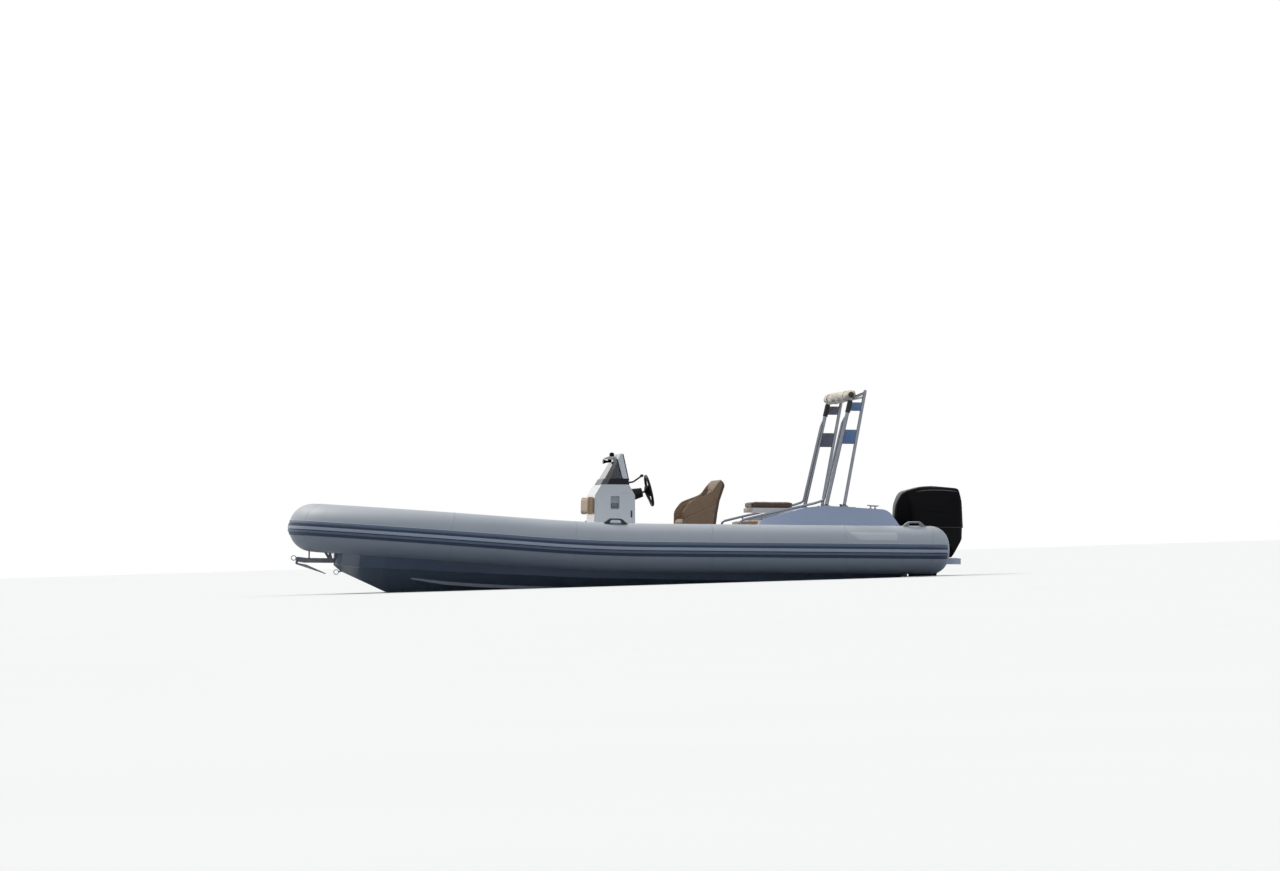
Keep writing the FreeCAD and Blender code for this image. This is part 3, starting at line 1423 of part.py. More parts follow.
def clamp_brackets():
    """Pair of brackets that hook over the transom."""
    corners = (
        (TRANSOM_X + TRANSOM_T + 22.0, TRANSOM_TOP + 0.5),
        (TRANSOM_X, TRANSOM_TOP + 0.5),
        (TRANSOM_X, -120.0),
        (TRANSOM_X - 30.0, -120.0, 14.0),
        (TRANSOM_X - 52.0, 60.0, 60.0),
        (TILT_X - 34.0, TILT_Z - 30.0, 30.0),
        (TILT_X - 30.0, TILT_Z + 34.0, 28.0),
        (TRANSOM_X + 20.0, TRANSOM_TOP + 44.0, 30.0),
        (TRANSOM_X + TRANSOM_T + 22.0, TRANSOM_TOP + 20.0, 10.0),
    )
    bore = cylinder((TILT_X, -200.0, TILT_Z), ACROSS, TILT_TUBE_R - 6.0 + PIN_PLAY, 400.0)
    hooks = []
    for side in (1, -1):
        inner = CLAMP_Y - CLAMP_T
        plate = prism(corners, "XZ", inner, CLAMP_Y)
        inside_x = TRANSOM_X + TRANSOM_T
        foot = box(inside_x, inside_x + 22.0, inner, CLAMP_Y, 200.0, TRANSOM_TOP + 4.0)
        hook = fused([plate, foot]).cut(bore)
        hooks.append(hook if side > 0 else mirrored(hook))
    return hooks


def main():
    os.makedirs("parts", exist_ok=True)
    clearance = tube_clearance()
    port_tube, bow_tube = air_tubes()
    save("tube_port", port_tube)
    save("tube_starboard", mirrored(port_tube))
    save("tube_bow", bow_tube)
    save("rub_strake", strake(STRAKE_TOP, STRAKE_BOTTOM, TUBE_R, TUBE_R + STRAKE_T))
    stripe_r = TUBE_R + STRAKE_T
    stripes = [strake(top, bottom, stripe_r, stripe_r + STRIPE_T) for top, bottom in STRIPES]
    save("strake_stripes", Part.makeCompound(stripes))
    port_liner = side_liner()
    front_liner = bow_liner()
    liners = [port_liner, mirrored(port_liner), front_liner]
    save("side_liners", Part.makeCompound(liners[:2]))
    save("bow_liner", front_liner)
    body = hull(clearance, liners)
    save("hull", body)
    save("cockpit_sole", sole())
    save("transom", transom())
    quarter = coaming(clearance)
    save("coaming_port", quarter)
    save("coaming_starboard", mirrored(quarter))
    step = swim_platform()
    save("swim_platforms", Part.makeCompound([step, mirrored(step)]))
    save("bow_deck", bow_deck())
    save("bow_lid", bow_lid())
    save("bow_lid_hinge", bow_lid_hinge())
    save("bow_cushion", bow_cushion())
    housing = console()
    save("console", housing)
    save("windscreen", windscreen())
    save("windscreen_frame", screen_frame())
    save("light_bracket", nav_light())
    save("masthead_light", light_dome())
    save("horn", horn())
    save("console_backrest", console_pad())
    save("console_seat", console_seat())
    save("console_seat_cushion", console_seat_cushion())
    save("steering_wheel", steering_wheel())
    save("helm_hub", helm_hub(housing))
    save("throttle", throttle())
    save("helm_seat_shell", helm_seat_shell())
    save("helm_seat_cushion", helm_seat_cushion())
    save("helm_seat_base", helm_seat_base())
    save("bench", bench())
    save("bench_cushion", bench_cushion())
    save("backrest_board", backrest_board())
    save("backrest_hinge", backrest_hinge())
    save("backrest_cushion", backrest_cushion())
    frame = arch_side(quarter)
    save("rollbar_port", frame)
    save("rollbar_starboard", mirrored(frame))
    bars = arch_top([frame, mirrored(frame)])
    save("rollbar_top", bars)
    port_sleeve = sleeve(frame, bars)
    sleeves = [port_sleeve, mirrored(port_sleeve)]
    save("rollbar_sleeves", Part.makeCompound(sleeves))
    save("canvas_roll", canvas_roll([frame, mirrored(frame), bars] + sleeves))
    rail = hand_rail(quarter, frame, port_liner)
    save("hand_rails", Part.makeCompound([rail, mirrored(rail)]))
    handles = [grab_handle(x, clearance) for x in HANDLE_XS]
    save("grab_handles", Part.makeCompound(handles + [mirrored(handle) for handle in handles]))
    cowl, lower = engine_covers()
    save("engine_cowl", cowl)
    save("engine_lower_cover", lower)
    casing = gearcase()
    save("engine_leg", leg(casing))
    save("gearcase", casing)
    save("propeller", propeller())
    save("swivel_bracket", swivel_bracket())
    save("clamp_brackets", Part.makeCompound(clamp_brackets()))
    save("bow_roller", bow_roller(body, clearance, front_liner))
    save("anchor", anchor())
    save("bow_eye", bow_eye(body))
    save("stern_eyes", stern_eyes())


main()
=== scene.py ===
import bmesh
import bpy
import math
from mathutils import Matrix, Vector, noise
from mathutils.bvhtree import BVHTree


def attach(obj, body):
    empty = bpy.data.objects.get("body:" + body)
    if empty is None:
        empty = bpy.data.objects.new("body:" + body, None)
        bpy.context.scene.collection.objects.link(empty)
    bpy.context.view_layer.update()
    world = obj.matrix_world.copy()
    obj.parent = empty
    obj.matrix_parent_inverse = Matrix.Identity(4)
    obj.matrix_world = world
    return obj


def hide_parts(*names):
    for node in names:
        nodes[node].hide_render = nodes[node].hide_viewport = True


# Pieces are drawn in millimetres in the boat's level frame and turned to the floating attitude.
TRIM = math.radians(2.2)
AFLOAT = Matrix.Scale(0.001, 4) @ Matrix.Rotation(-TRIM, 4, "Y")
BACK = AFLOAT.inverted()
PORT = (0, 1, 0)
UP = (0, 0, 1)

# The collar's axis: straight aft, rising forward of amidships, and three arcs round the bow
TUBE_Y = 1000.0
TUBE_Z = 395.0
TUBE_R = 250.0
SHEER_START = -300.0
SHEER_END = 900.0
RISE_X = 300.0
RISE_TURN = math.radians(3.7)
RISE = (
    Matrix.Translation((RISE_X, 0, TUBE_Z))
    @ Matrix.Rotation(-RISE_TURN, 4, "Y")
    @ Matrix.Translation((-RISE_X, 0, -TUBE_Z))
)
SHEER_R = (SHEER_END - SHEER_START) / 2 / math.tan(RISE_TURN / 2)
SHOULDER_R = 2400.0
NOSE_R = 550.0
NOSE_X = 2600.0
SHOULDER_Y = TUBE_Y - SHOULDER_R
SHOULDER_X = NOSE_X - math.sqrt((SHOULDER_R - NOSE_R) ** 2 - SHOULDER_Y ** 2)
SHOULDER_TURN = math.atan2(NOSE_X - SHOULDER_X, -SHOULDER_Y)

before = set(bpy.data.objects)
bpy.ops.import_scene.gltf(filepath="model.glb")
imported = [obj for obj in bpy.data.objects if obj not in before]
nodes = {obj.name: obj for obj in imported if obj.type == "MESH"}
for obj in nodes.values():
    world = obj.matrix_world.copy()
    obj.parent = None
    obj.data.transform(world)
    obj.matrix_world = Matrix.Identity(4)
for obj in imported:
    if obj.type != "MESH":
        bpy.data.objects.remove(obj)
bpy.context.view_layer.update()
scene = bpy.context.scene


# Materials

def srgb(red, green, blue):
    """Linear colour of an 8-bit display colour."""
    def linear(value):
        share = value / 255
        return share / 12.92 if share <= 0.04045 else ((share + 0.055) / 1.055) ** 2.4
    return (linear(red), linear(green), linear(blue), 1.0)


def scaled(colour, factor):
    return tuple(min(1.0, part * factor) for part in colour[:3]) + (1.0,)


class Graph:
    """Shader nodes whose inputs are given as constants or as outputs of other nodes."""

    def __init__(self, owner):
        owner.use_nodes = True
        self.tree = owner.node_tree

    def feed(self, socket, value):
        if isinstance(value, bpy.types.NodeSocket):
            self.tree.links.new(value, socket)
        else:
            socket.default_value = value

    def add(self, kind, inputs=None, **settings):
        node = self.tree.nodes.new("ShaderNode" + kind)
        for key, value in settings.items():
            setattr(node, key, value)
        for key, value in (inputs or {}).items():
            self.feed(node.inputs[key], value)
        return node

    def height(self, place):
        return self.add("SeparateXYZ", {"Vector": place}).outputs["Z"]

    def ranged(self, value, low, high, from_low=0.0, from_high=1.0):
        inputs = {"Value": value, "From Min": from_low, "From Max": from_high, "To Min": low, "To Max": high}
        return self.add("MapRange", inputs).outputs["Result"]

    def maths(self, operation, first, second):
        return self.add("Math", {0: first, 1: second}, operation=operation).outputs["Value"]

    def mixed(self, share, first, second):
        """Two colours mixed by a share."""
        node = self.add("Mix", {"Factor": share}, data_type="RGBA")
        colours = [socket for socket in node.inputs if socket.type == "RGBA"]
        for socket, value in zip(colours, (first, second)):
            self.feed(socket, value)
        return [socket for socket in node.outputs if socket.type == "RGBA"][0]

    def seen(self):
        """1 for what is seen directly, in a reflection or through glass, and 0 for what only lights."""
        path = self.add("LightPath").outputs
        indirect = self.maths("MAXIMUM", path["Is Glossy Ray"], path["Is Transmission Ray"])
        return self.maths("MAXIMUM", path["Is Camera Ray"], indirect)


class Surface(Graph):
    """Procedural material: a base shader with its inputs driven by textures in metres."""

    def __init__(self, name, **constants):
        self.material = bpy.data.materials.new(name)
        super().__init__(self.material)
        self.shader = self.tree.nodes["Principled BSDF"]
        self.place = self.add("TexCoord").outputs["Object"]
        self.normal = None
        for key, value in constants.items():
            self.shader.inputs[key.replace("_", " ")].default_value = value

    def noise(self, scale, detail=3.0, stretch=None):
        place = self.place
        if stretch:
            place = self.add("Mapping", {"Vector": place, "Scale": stretch}).outputs["Vector"]
        inputs = {"Vector": place, "Scale": scale, "Detail": detail, "Roughness": 0.55}
        return self.add("TexNoise", inputs).outputs["Fac"]

    def cells(self, scale):
        inputs = {"Vector": self.place, "Scale": scale}
        return self.add("TexVoronoi", inputs, feature="DISTANCE_TO_EDGE").outputs["Distance"]

    def waves(self, scale, axis, profile="SIN"):
        inputs = {"Vector": self.place, "Scale": scale}
        return self.add("TexWave", inputs, bands_direction=axis, wave_profile=profile).outputs["Fac"]

    def bump(self, value, distance, strength):
        inputs = {"Height": value, "Distance": distance, "Strength": strength}
        if self.normal is not None:
            inputs["Normal"] = self.normal
        self.normal = self.add("Bump", inputs).outputs["Normal"]
        self.feed(self.shader.inputs["Normal"], self.normal)

    def colour(self, output):
        self.feed(self.shader.inputs["Base Color"], output)

    def rough(self, low, high, scale, detail=3.0, stretch=None):
        """Roughness that wanders between two values."""
        self.feed(self.shader.inputs["Roughness"], self.ranged(self.noise(scale, detail, stretch), low, high))

    def clouded(self, colour, spread, scale, detail=4.0):
        """The colour in soft clouds, a little lighter and a little darker."""
        cloud = self.ranged(self.noise(scale, detail), 0.0, 1.0, 0.3, 0.7)
        return self.mixed(cloud, scaled(colour, 1 - spread), scaled(colour, 1 + spread))

    def tint(self, colour, spread, scale, dirt_and_shade=None, dirt_and_shade_share=0.5, dirt_and_shade_top=0.10):
        """Clouded base colour, with a darker tone that thins out above the waterline: waterline grime on the
        collar, painted shade on the hull.
        """
        toned = self.clouded(colour, spread, scale)
        if dirt_and_shade:
            rising = self.ranged(self.height(self.place), dirt_and_shade_share, 0.0, 0.0, dirt_and_shade_top)
            patchy = self.ranged(self.noise(9.0, 5.0), 0.3, 1.2, 0.3, 0.7)
            toned = self.mixed(self.maths("MULTIPLY", rising, patchy), toned, dirt_and_shade)
        self.colour(toned)


def coated_fabric(name, colour, spread=0.035, dirt_and_shade=None):
    """Rubber-coated collar fabric: matt, with a fine cloth print and broad tone changes."""
    surface = Surface(name, Specular_IOR_Level=0.42, Sheen_Weight=0.06)
    surface.tint(colour, spread, 2.2, dirt_and_shade, 0.35, 0.16)
    surface.rough(0.46, 0.62, 35.0, 4.0)
    surface.bump(surface.cells(900.0), 0.00012, 0.6)
    surface.bump(surface.noise(14.0), 0.0012, 0.35)
    return surface.material


def moulded(name, colour, low=0.14, high=0.26, coat=0.35, spread=0.02, dirt_and_shade=None, peel=0.25, shine=0.5):
    """Gelcoat or gloss moulding with a slight ripple and a polished skin."""
    surface = Surface(name, Coat_Weight=coat, Coat_Roughness=0.06, Specular_IOR_Level=shine)
    surface.tint(colour, spread, 3.0, dirt_and_shade, 0.45, 0.14)
    surface.rough(low, high, 26.0, 5.0)
    surface.bump(surface.noise(160.0, 2.0), 0.0002, peel)
    return surface.material


def vinyl(name, colour):
    """Marine upholstery vinyl: leather grain, soft creases and worn tone."""
    surface = Surface(name, Specular_IOR_Level=0.45, Sheen_Weight=0.08)
    base = surface.clouded(colour, 0.05, 7.0, 5.0)
    worn = surface.ranged(surface.noise(90.0), 0.0, 0.18, 0.4, 0.7)
    surface.colour(surface.mixed(worn, base, scaled(colour, 0.72)))
    surface.rough(0.38, 0.55, 45.0)
    surface.bump(surface.ranged(surface.cells(520.0), 0.0, 1.0, 0.0, 0.12), 0.0003, 0.7)
    surface.bump(surface.noise(24.0, 4.0), 0.0016, 0.4)
    return surface.material


def canvas_cloth(name, colour):
    """Woven acrylic canvas."""
    surface = Surface(name, Specular_IOR_Level=0.3, Sheen_Weight=0.2)
    surface.tint(colour, 0.06, 11.0)
    surface.rough(0.75, 0.92, 60.0)
    surface.bump(surface.maths("MULTIPLY", surface.waves(620.0, "Y"), surface.waves(620.0, "Z")), 0.0001, 0.5)
    surface.bump(surface.noise(22.0), 0.0015, 0.4)
    return surface.material


def metal(name, colour, low, high, spread=0.04, brushed=None):
    surface = Surface(name, Metallic=1.0)
    surface.tint(colour, spread, 18.0)
    surface.rough(low, high, 70.0, 4.0, brushed)
    surface.bump(surface.noise(240.0, 3.0, brushed), 0.0001, 0.35)
    return surface.material


def plastic(name, colour, low=0.35, high=0.5, spread=0.06, pebble=700.0, shine=0.45):
    surface = Surface(name, Specular_IOR_Level=shine)
    surface.tint(colour, spread, 12.0)
    surface.rough(low, high, 55.0, 4.0)
    surface.bump(surface.noise(pebble, 2.0), 0.00015, 0.5)
    return surface.material


def grip(name, colour):
    """Moulded non-slip: rows of small raised diamonds on gelcoat."""
    surface = Surface(name)
    surface.tint(colour, 0.03, 4.0)
    surface.rough(0.5, 0.65, 30.0)
    diamonds = surface.maths("MULTIPLY", surface.waves(60.0, "X", "TRI"), surface.waves(60.0, "Y", "TRI"))
    surface.bump(diamonds, 0.0012, 0.8)
    return surface.material


def two_tone(name, aft, ahead, border):
    """Moulded rubber whose tone changes between the aft and the forward handles."""
    surface = Surface(name, Specular_IOR_Level=0.4)
    split = surface.add("SeparateXYZ", {"Vector": surface.place})
    share = surface.ranged(split.outputs["X"], 0.0, 1.0, border - 0.1, border + 0.1)
    grain = surface.ranged(surface.noise(14.0, 4.0), 0.0, 0.12)
    surface.colour(surface.mixed(grain, surface.mixed(share, aft, ahead), (0.3, 0.3, 0.3, 1.0)))
    surface.rough(0.45, 0.62, 55.0, 4.0)
    surface.bump(surface.noise(420.0, 2.0), 0.00015, 0.5)
    return surface.material


def smoked(name, colour):
    surface = Surface(name, Transmission_Weight=0.9, IOR=1.46, Specular_IOR_Level=0.5)
    surface.colour(surface.mixed(surface.noise(5.0), scaled(colour, 0.85), scaled(colour, 1.15)))
    surface.rough(0.02, 0.06, 40.0, 4.0)
    return surface.material


collar_fabric = coated_fabric("collar_fabric", srgb(190, 195, 202), dirt_and_shade=srgb(122, 120, 108))
collar_tape = coated_fabric("collar_tape", srgb(186, 191, 198))
patch_grey = coated_fabric("patch_grey", srgb(70, 78, 92))
patch_plain = coated_fabric("patch_plain", srgb(214, 217, 222))
strake_dark = coated_fabric("strake_dark", srgb(46, 58, 82), 0.06)
strake_blue = coated_fabric("strake_blue", srgb(112, 126, 150), 0.05)
strake_light = coated_fabric("strake_light", srgb(196, 205, 216), 0.04)
piping_white = coated_fabric("piping_white", srgb(226, 228, 230), 0.03)
gelcoat = moulded("gelcoat", srgb(226, 228, 231))
# Hull gelcoat: the darker blue-grey tone low on the hull side is painted shade; the base colour is the hull's
# own.
gelcoat_hull = moulded("gelcoat_hull", srgb(150, 164, 182), dirt_and_shade=srgb(92, 108, 122))
# Coamings and swim platforms: the white gelcoat drawn cooler and darker, as painted sky-lit shade.
gelcoat_painted_shade = moulded("gelcoat_painted_shade", srgb(184, 198, 224))
deck_grip = grip("deck_grip", srgb(196, 199, 200))
smoked_screen = smoked("smoked_screen", srgb(84, 88, 92))
frame_grey = moulded("screen_frame", srgb(222, 225, 229), 0.22, 0.34, 0.2)
white_metal = moulded("white_metal", srgb(224, 226, 228), 0.25, 0.36, 0.2)
black_gloss = moulded("black_gloss", srgb(3, 3, 6), 0.27, 0.36, 0.0, 0.12, peel=0.1, shine=0.07)
black_matte = plastic("black_matte", srgb(17, 18, 21), shine=0.2)
rubber = plastic("rubber", srgb(34, 35, 38), 0.5, 0.68, 0.08, 420.0)
handle_rubber = two_tone("handle_rubber", srgb(158, 160, 162), srgb(58, 64, 76), -1.5)
tan = vinyl("upholstery", srgb(188, 160, 128))
# Darker copy of the upholstery tan for the helm seat: painted shade.
tan_painted_shade = vinyl("upholstery_painted_shade", srgb(140, 113, 88))
tan_dark = vinyl("upholstery_trim", srgb(136, 108, 82))
brown = vinyl("upholstery_dark", srgb(88, 66, 54))
canvas = canvas_cloth("canvas", srgb(246, 236, 218))
canvas_tie = canvas_cloth("canvas_tie", srgb(96, 82, 68))
stainless = metal("stainless", srgb(126, 130, 139), 0.14, 0.26, 0.10, (1.0, 1.0, 12.0))
chrome = metal("chrome", srgb(176, 179, 184), 0.05, 0.12)
galvanised = metal("galvanised", srgb(96, 99, 106), 0.38, 0.6, 0.18)
bright_blade = metal("bright_blade", srgb(176, 180, 184), 0.16, 0.3)
# Arch plate covers: the blue on port is a painted reflection of the sky, and the dark grey on starboard is a
# painted reflection of dark water.
gusset_painted_sky_reflection = moulded("gusset_painted_sky_reflection", srgb(108, 140, 188), 0.3, 0.42, 0.1, 0.05)
gusset_painted_dark_reflection = moulded("gusset_painted_dark_reflection", srgb(96, 102, 116), 0.3, 0.42, 0.1, 0.05)
engine_dark = moulded("engine_metal", srgb(5, 6, 9), 0.22, 0.36, 0.0, 0.1, shine=0.09)
# Grey for the painted highlight along the cowl's upper edges.
engine_painted_highlight = moulded("engine_painted_highlight", srgb(120, 124, 130), 0.2, 0.3, 0.4)
bracket_dark = plastic("bracket_metal", srgb(30, 32, 35), 0.28, 0.4)
dial_face = plastic("dial_face", srgb(20, 21, 24), 0.3, 0.4)
dial_mark = plastic("dial_mark", srgb(228, 230, 232), 0.4, 0.5)
band_dark = moulded("band_dark", srgb(24, 27, 38), 0.2, 0.32, 0.0, 0.08, shine=0.15)
# Grey for the console's panel lines and door edge, which are joints, and for the pocket lining, which is
# painted shade inside the recess.
joint_grey_and_pocket_shade = moulded("joint_grey_and_pocket_shade", srgb(190, 195, 203), 0.3, 0.45, 0.1, 0.05)
# Darker plate in the lower part of each console pocket: painted shade.
pocket_lower_painted_shade = plastic("pocket_lower_painted_shade", srgb(128, 137, 150), 0.4, 0.55)

NODE_FINISH = {
    collar_fabric: ("tube_port", "tube_starboard", "tube_bow"),
    strake_dark: ("rub_strake",),
    strake_light: ("strake_stripes",),
    gelcoat: ("side_liners", "bow_liner", "transom", "bow_deck", "bow_lid", "console",
              "console_seat", "helm_seat_base", "bench", "backrest_board"),
    gelcoat_hull: ("hull",),
    gelcoat_painted_shade: ("coaming_port", "coaming_starboard", "swim_platforms"),
    deck_grip: ("cockpit_sole",),
    smoked_screen: ("windscreen",),
    frame_grey: ("windscreen_frame",),
    white_metal: ("light_bracket",),
    black_gloss: ("engine_cowl", "masthead_light", "horn"),
    black_matte: ("steering_wheel", "helm_hub", "throttle"),
    rubber: ("rollbar_sleeves",),
    handle_rubber: ("grab_handles",),
    tan: ("console_backrest", "console_seat_cushion", "helm_seat_shell", "helm_seat_cushion", "bow_cushion",
          "bench_cushion"),
    brown: ("backrest_cushion",),
    canvas: ("canvas_roll",),
    stainless: ("rollbar_port", "rollbar_starboard", "rollbar_top", "hand_rails", "bow_eye", "stern_eyes",
                "bow_lid_hinge", "backrest_hinge"),
    engine_dark: ("engine_lower_cover", "engine_leg", "gearcase"),
    bright_blade: ("propeller",),
    bracket_dark: ("swivel_bracket", "clamp_brackets"),
    galvanised: ("bow_roller", "anchor"),
}
for material, names in NODE_FINISH.items():
    for name in names:
        for holder in nodes[name].material_slots:
            holder.material = material


# Mesh helpers: each shape is its vertices, in millimetres, and its faces

def between(start, end, share):
    return start + (end - start) * share


def circle(count):
    """Angles at even steps round a full turn."""
    return [math.tau * step / count for step in range(count)]


def offset_outline(points, inset):
    """Closed outline moved inwards along its corner normals."""
    moved = []
    area = sum(a[0] * b[1] - b[0] * a[1] for a, b in zip(points, points[1:] + points[:1]))
    turn = 1.0 if area > 0 else -1.0
    for index, point in enumerate(points):
        here = Vector(point)
        first = (here - Vector(points[index - 1])).normalized()
        second = (Vector(points[(index + 1) % len(points)]) - here).normalized()
        square = Vector((-first.y, first.x)) * turn
        normal = Vector((-(first.y + second.y), first.x + second.x)) * turn
        if normal.length < 1e-9:
            normal = square.copy()
        normal.normalize()
        moved.append(tuple(here + normal * inset / max(0.35, normal.dot(square))))
    return moved


def rounded(corners, radius, steps=5):
    """Outline with each corner turned into an arc; a corner may hold its own radius."""
    points = []
    for index, corner in enumerate(corners):
        here = Vector(corner[:2])
        corner_r = corner[2] if len(corner) > 2 else radius
        back = (Vector(corners[index - 1][:2]) - here).normalized()
        ahead = (Vector(corners[(index + 1) % len(corners)][:2]) - here).normalized()
        half = back.angle(ahead) / 2
        reach = corner_r / math.tan(half)
        centre = here + (back + ahead).normalized() * (corner_r / math.sin(half))
        start = here + back * reach - centre
        end = here + ahead * reach - centre
        sweep = start.angle_signed(end)
        for step in range(steps + 1):
            angle = -sweep * step / steps
            points.append((
                centre.x + start.x * math.cos(angle) - start.y * math.sin(angle),
                centre.y + start.x * math.sin(angle) + start.y * math.cos(angle),
            ))
    return points


def box_outline(left, right, low, high, radius, steps=5):
    return rounded([(left, low), (right, low), (right, high), (left, high)], radius, steps)


def rectangle(width, height, radius, steps=5):
    return box_outline(-width / 2, width / 2, -height / 2, height / 2, radius, steps)


def skinned(count, rows, around=True, looped=False, capped=True):
    """Faces between rows of points: around closes each row, looped joins the last row to the first."""
    faces = []
    for row in range(rows if looped else rows - 1):
        low = row * count
        high = (row + 1) % rows * count
        for index in range(count if around else count - 1):
            after = (index + 1) % count
            faces.append((low + index, low + after, high + after, high + index))
    if capped:
        faces += [tuple(range(count))[::-1], tuple(range(count * (rows - 1), count * rows))]
    return faces


def strip(rows, turned_over=False):
    """Open sheet through rows of points; turned over, its faces wind the other way."""
    faces = skinned(len(rows[0]), len(rows), around=False, capped=False)
    if turned_over:
        faces = [face[:1] + face[:0:-1] for face in faces]
    return [point for row in rows for point in row], faces


def slab(points, thickness, origin, across, along, chamfer=0.0):
    """Plate with a chamfered face: its outline lies on the plane of across and along."""
    across = Vector(across).normalized()
    along = Vector(along).normalized()
    out = across.cross(along)
    layers = [(points, 0.0), (points, thickness - chamfer)]
    if chamfer:
        layers.append((offset_outline(points, chamfer * 0.35), thickness - chamfer * 0.35))
        layers.append((offset_outline(points, chamfer), thickness))
    vertices = [Vector(origin) + across * u + along * v + out * w for ring, w in layers for u, v in ring]
    return vertices, skinned(len(points), len(layers))


def side_plate(points, y, thickness, side, chamfer=0.0):
    """Plate in a fore-and-aft plane: outline of (x, z), facing port for side 1 and starboard for -1."""
    return slab([(-x * side, z) for x, z in points], thickness, (0, y, 0), (-side, 0, 0), UP, chamfer)


def turned(profile, origin, axis, sides=28):
    """Lathe form: profile of (distance along the axis, radius)."""
    axis = Vector(axis).normalized()
    side = axis.orthogonal().normalized()
    other = axis.cross(side)
    vertices = []
    for along, radius in profile:
        for angle in circle(sides):
            out = side * math.cos(angle) + other * math.sin(angle)
            vertices.append(Vector(origin) + axis * along + out * radius)
    return vertices, skinned(sides, len(profile))


def swept(points, radius, sides=8, closed=False, flat=1.0, up=None):
    """Bar along a route; radius may be a list; flat stretches the section along its own upright."""
    points = [Vector(point) for point in points]
    count = len(points)
    radii = radius if isinstance(radius, list) else [radius] * count
    vertices = []
    side = None
    for index, point in enumerate(points):
        if closed:
            heading = points[(index + 1) % count] - points[index - 1]
        else:
            heading = points[min(index + 1, count - 1)] - points[max(index - 1, 0)]
        heading.normalize()
        if up:
            side = heading.cross(Vector(up)).normalized()
        elif side is None:
            side = heading.orthogonal().normalized()
        else:
            side = (side - heading * side.dot(heading)).normalized()
        other = side.cross(heading) * flat
        for angle in circle(sides):
            vertices.append(point + (side * math.cos(angle) + other * math.sin(angle)) * radii[index])
    return vertices, skinned(sides, count, looped=closed, capped=not closed)


def bolt(origin, axis, radius):
    profile = [(-1.0, radius), (2.0, radius), (3.4, radius * 0.8), (4.0, radius * 0.35)]
    return turned(profile, origin, axis, 12)


def both(shapes):
    """Port shapes with their mirror images."""
    mirrored = [([Vector((v[0], -v[1], v[2])) for v in vertices], [face[::-1] for face in faces])
                for vertices, faces in shapes]
    return list(shapes) + mirrored


def made(name, shapes, material, angle=40.0, body="boat", place=AFLOAT, replaces=()):
    """Join shapes into one piece, turn it afloat, shade it and let it ride on its body."""
    vertices = []
    faces = []
    for part_vertices, part_faces in shapes:
        start = len(vertices)
        vertices += [place @ Vector(vertex) for vertex in part_vertices]
        faces += [tuple(start + index for index in face) for face in part_faces]
    mesh = bpy.data.meshes.new(name)
    mesh.from_pydata(vertices, [], faces)
    shaped = bmesh.new()
    shaped.from_mesh(mesh)
    bmesh.ops.recalc_face_normals(shaped, faces=shaped.faces)
    shaped.to_mesh(mesh)
    shaped.free()
    return dressed(name, mesh, material, angle, body, replaces)


def dressed(name, mesh, material, angle, body, replaces):
    """Make a mesh a piece: shaded smooth up to an angle, on its body, in place of the nodes it covers."""
    mesh.materials.clear()
    mesh.materials.append(material)
    for face in mesh.polygons:
        face.use_smooth = True
        face.material_index = 0
    mesh.set_sharp_from_angle(angle=math.radians(angle))
    piece = bpy.data.objects.new(name, mesh)
    scene.collection.objects.link(piece)
    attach(piece, body)
    if replaces:
        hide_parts(*replaces)
    return piece


# Seating on meshes

SEAM_GAP = 18.0
trees = {}


def tree_from(mesh):
    return BVHTree.FromPolygons([v.co for v in mesh.vertices], [p.vertices for p in mesh.polygons])


def cast(node, start, heading):
    """Where a ray in the level frame meets a node, in millimetres, with the normal there."""
    if node not in trees:
        trees[node] = tree_from(nodes[node].data)
    way = (AFLOAT.to_3x3() @ Vector(heading)).normalized()
    spot, normal, _, _ = trees[node].ray_cast(AFLOAT @ Vector(start), way)
    return BACK @ spot, (BACK.to_3x3() @ normal).normalized()


def on_surface(mesh, points, lift, place=AFLOAT):
    """Nearest points on a mesh, in the level frame, for seams and piping."""
    tree = tree_from(mesh)
    back = place.inverted()
    turn = back.to_3x3()
    found = []
    for point in points:
        spot, normal, _, _ = tree.find_nearest(place @ Vector(point))
        found.append(back @ spot + (turn @ normal).normalized() * lift)
    return found


def densified(points, closed):
    """Points at even short gaps along an outline."""
    points = [Vector(point) for point in points]
    dense = []
    for start, end in zip(points, points[1:] + points[:1] if closed else points[1:]):
        count = max(1, round((end - start).length / SEAM_GAP))
        dense += [start.lerp(end, step / count) for step in range(count)]
    return dense if closed else dense + [points[-1]]


def smoothed(points, rounds, closed):
    for _ in range(rounds):
        count = len(points)
        points = [
            (points[i - 1] + points[i] * 2 + points[(i + 1) % count]) / 4
            if closed or 0 < i < count - 1 else points[i]
            for i in range(count)
        ]
    return points


def seam_route(mesh, points, lift):
    """Smooth open route over a mesh, close to the points given."""
    return smoothed(on_surface(mesh, densified(points, False), lift), 3, False)


# Soft goods

CLOTH_FRAMES = 20
CLOTH_PRESSURE = 4.0
PIPING_R = 3.2


def welded(node):
    """The node's solid as one closed mesh, ready to be remeshed."""
    mesh = nodes[node].data.copy()
    shaped = bmesh.new()
    shaped.from_mesh(mesh)
    bmesh.ops.remove_doubles(shaped, verts=shaped.verts, dist=1e-5)
    shaped.to_mesh(mesh)
    shaped.free()
    return mesh


def holder_of(mesh):
    piece = bpy.data.objects.new("working", mesh)
    scene.collection.objects.link(piece)
    return piece


def evaluated(piece):
    """The piece's mesh with its modifiers applied; the piece itself goes."""
    graph = bpy.context.evaluated_depsgraph_get()
    mesh = bpy.data.meshes.new_from_object(piece.evaluated_get(graph))
    bpy.data.objects.remove(piece)
    return mesh


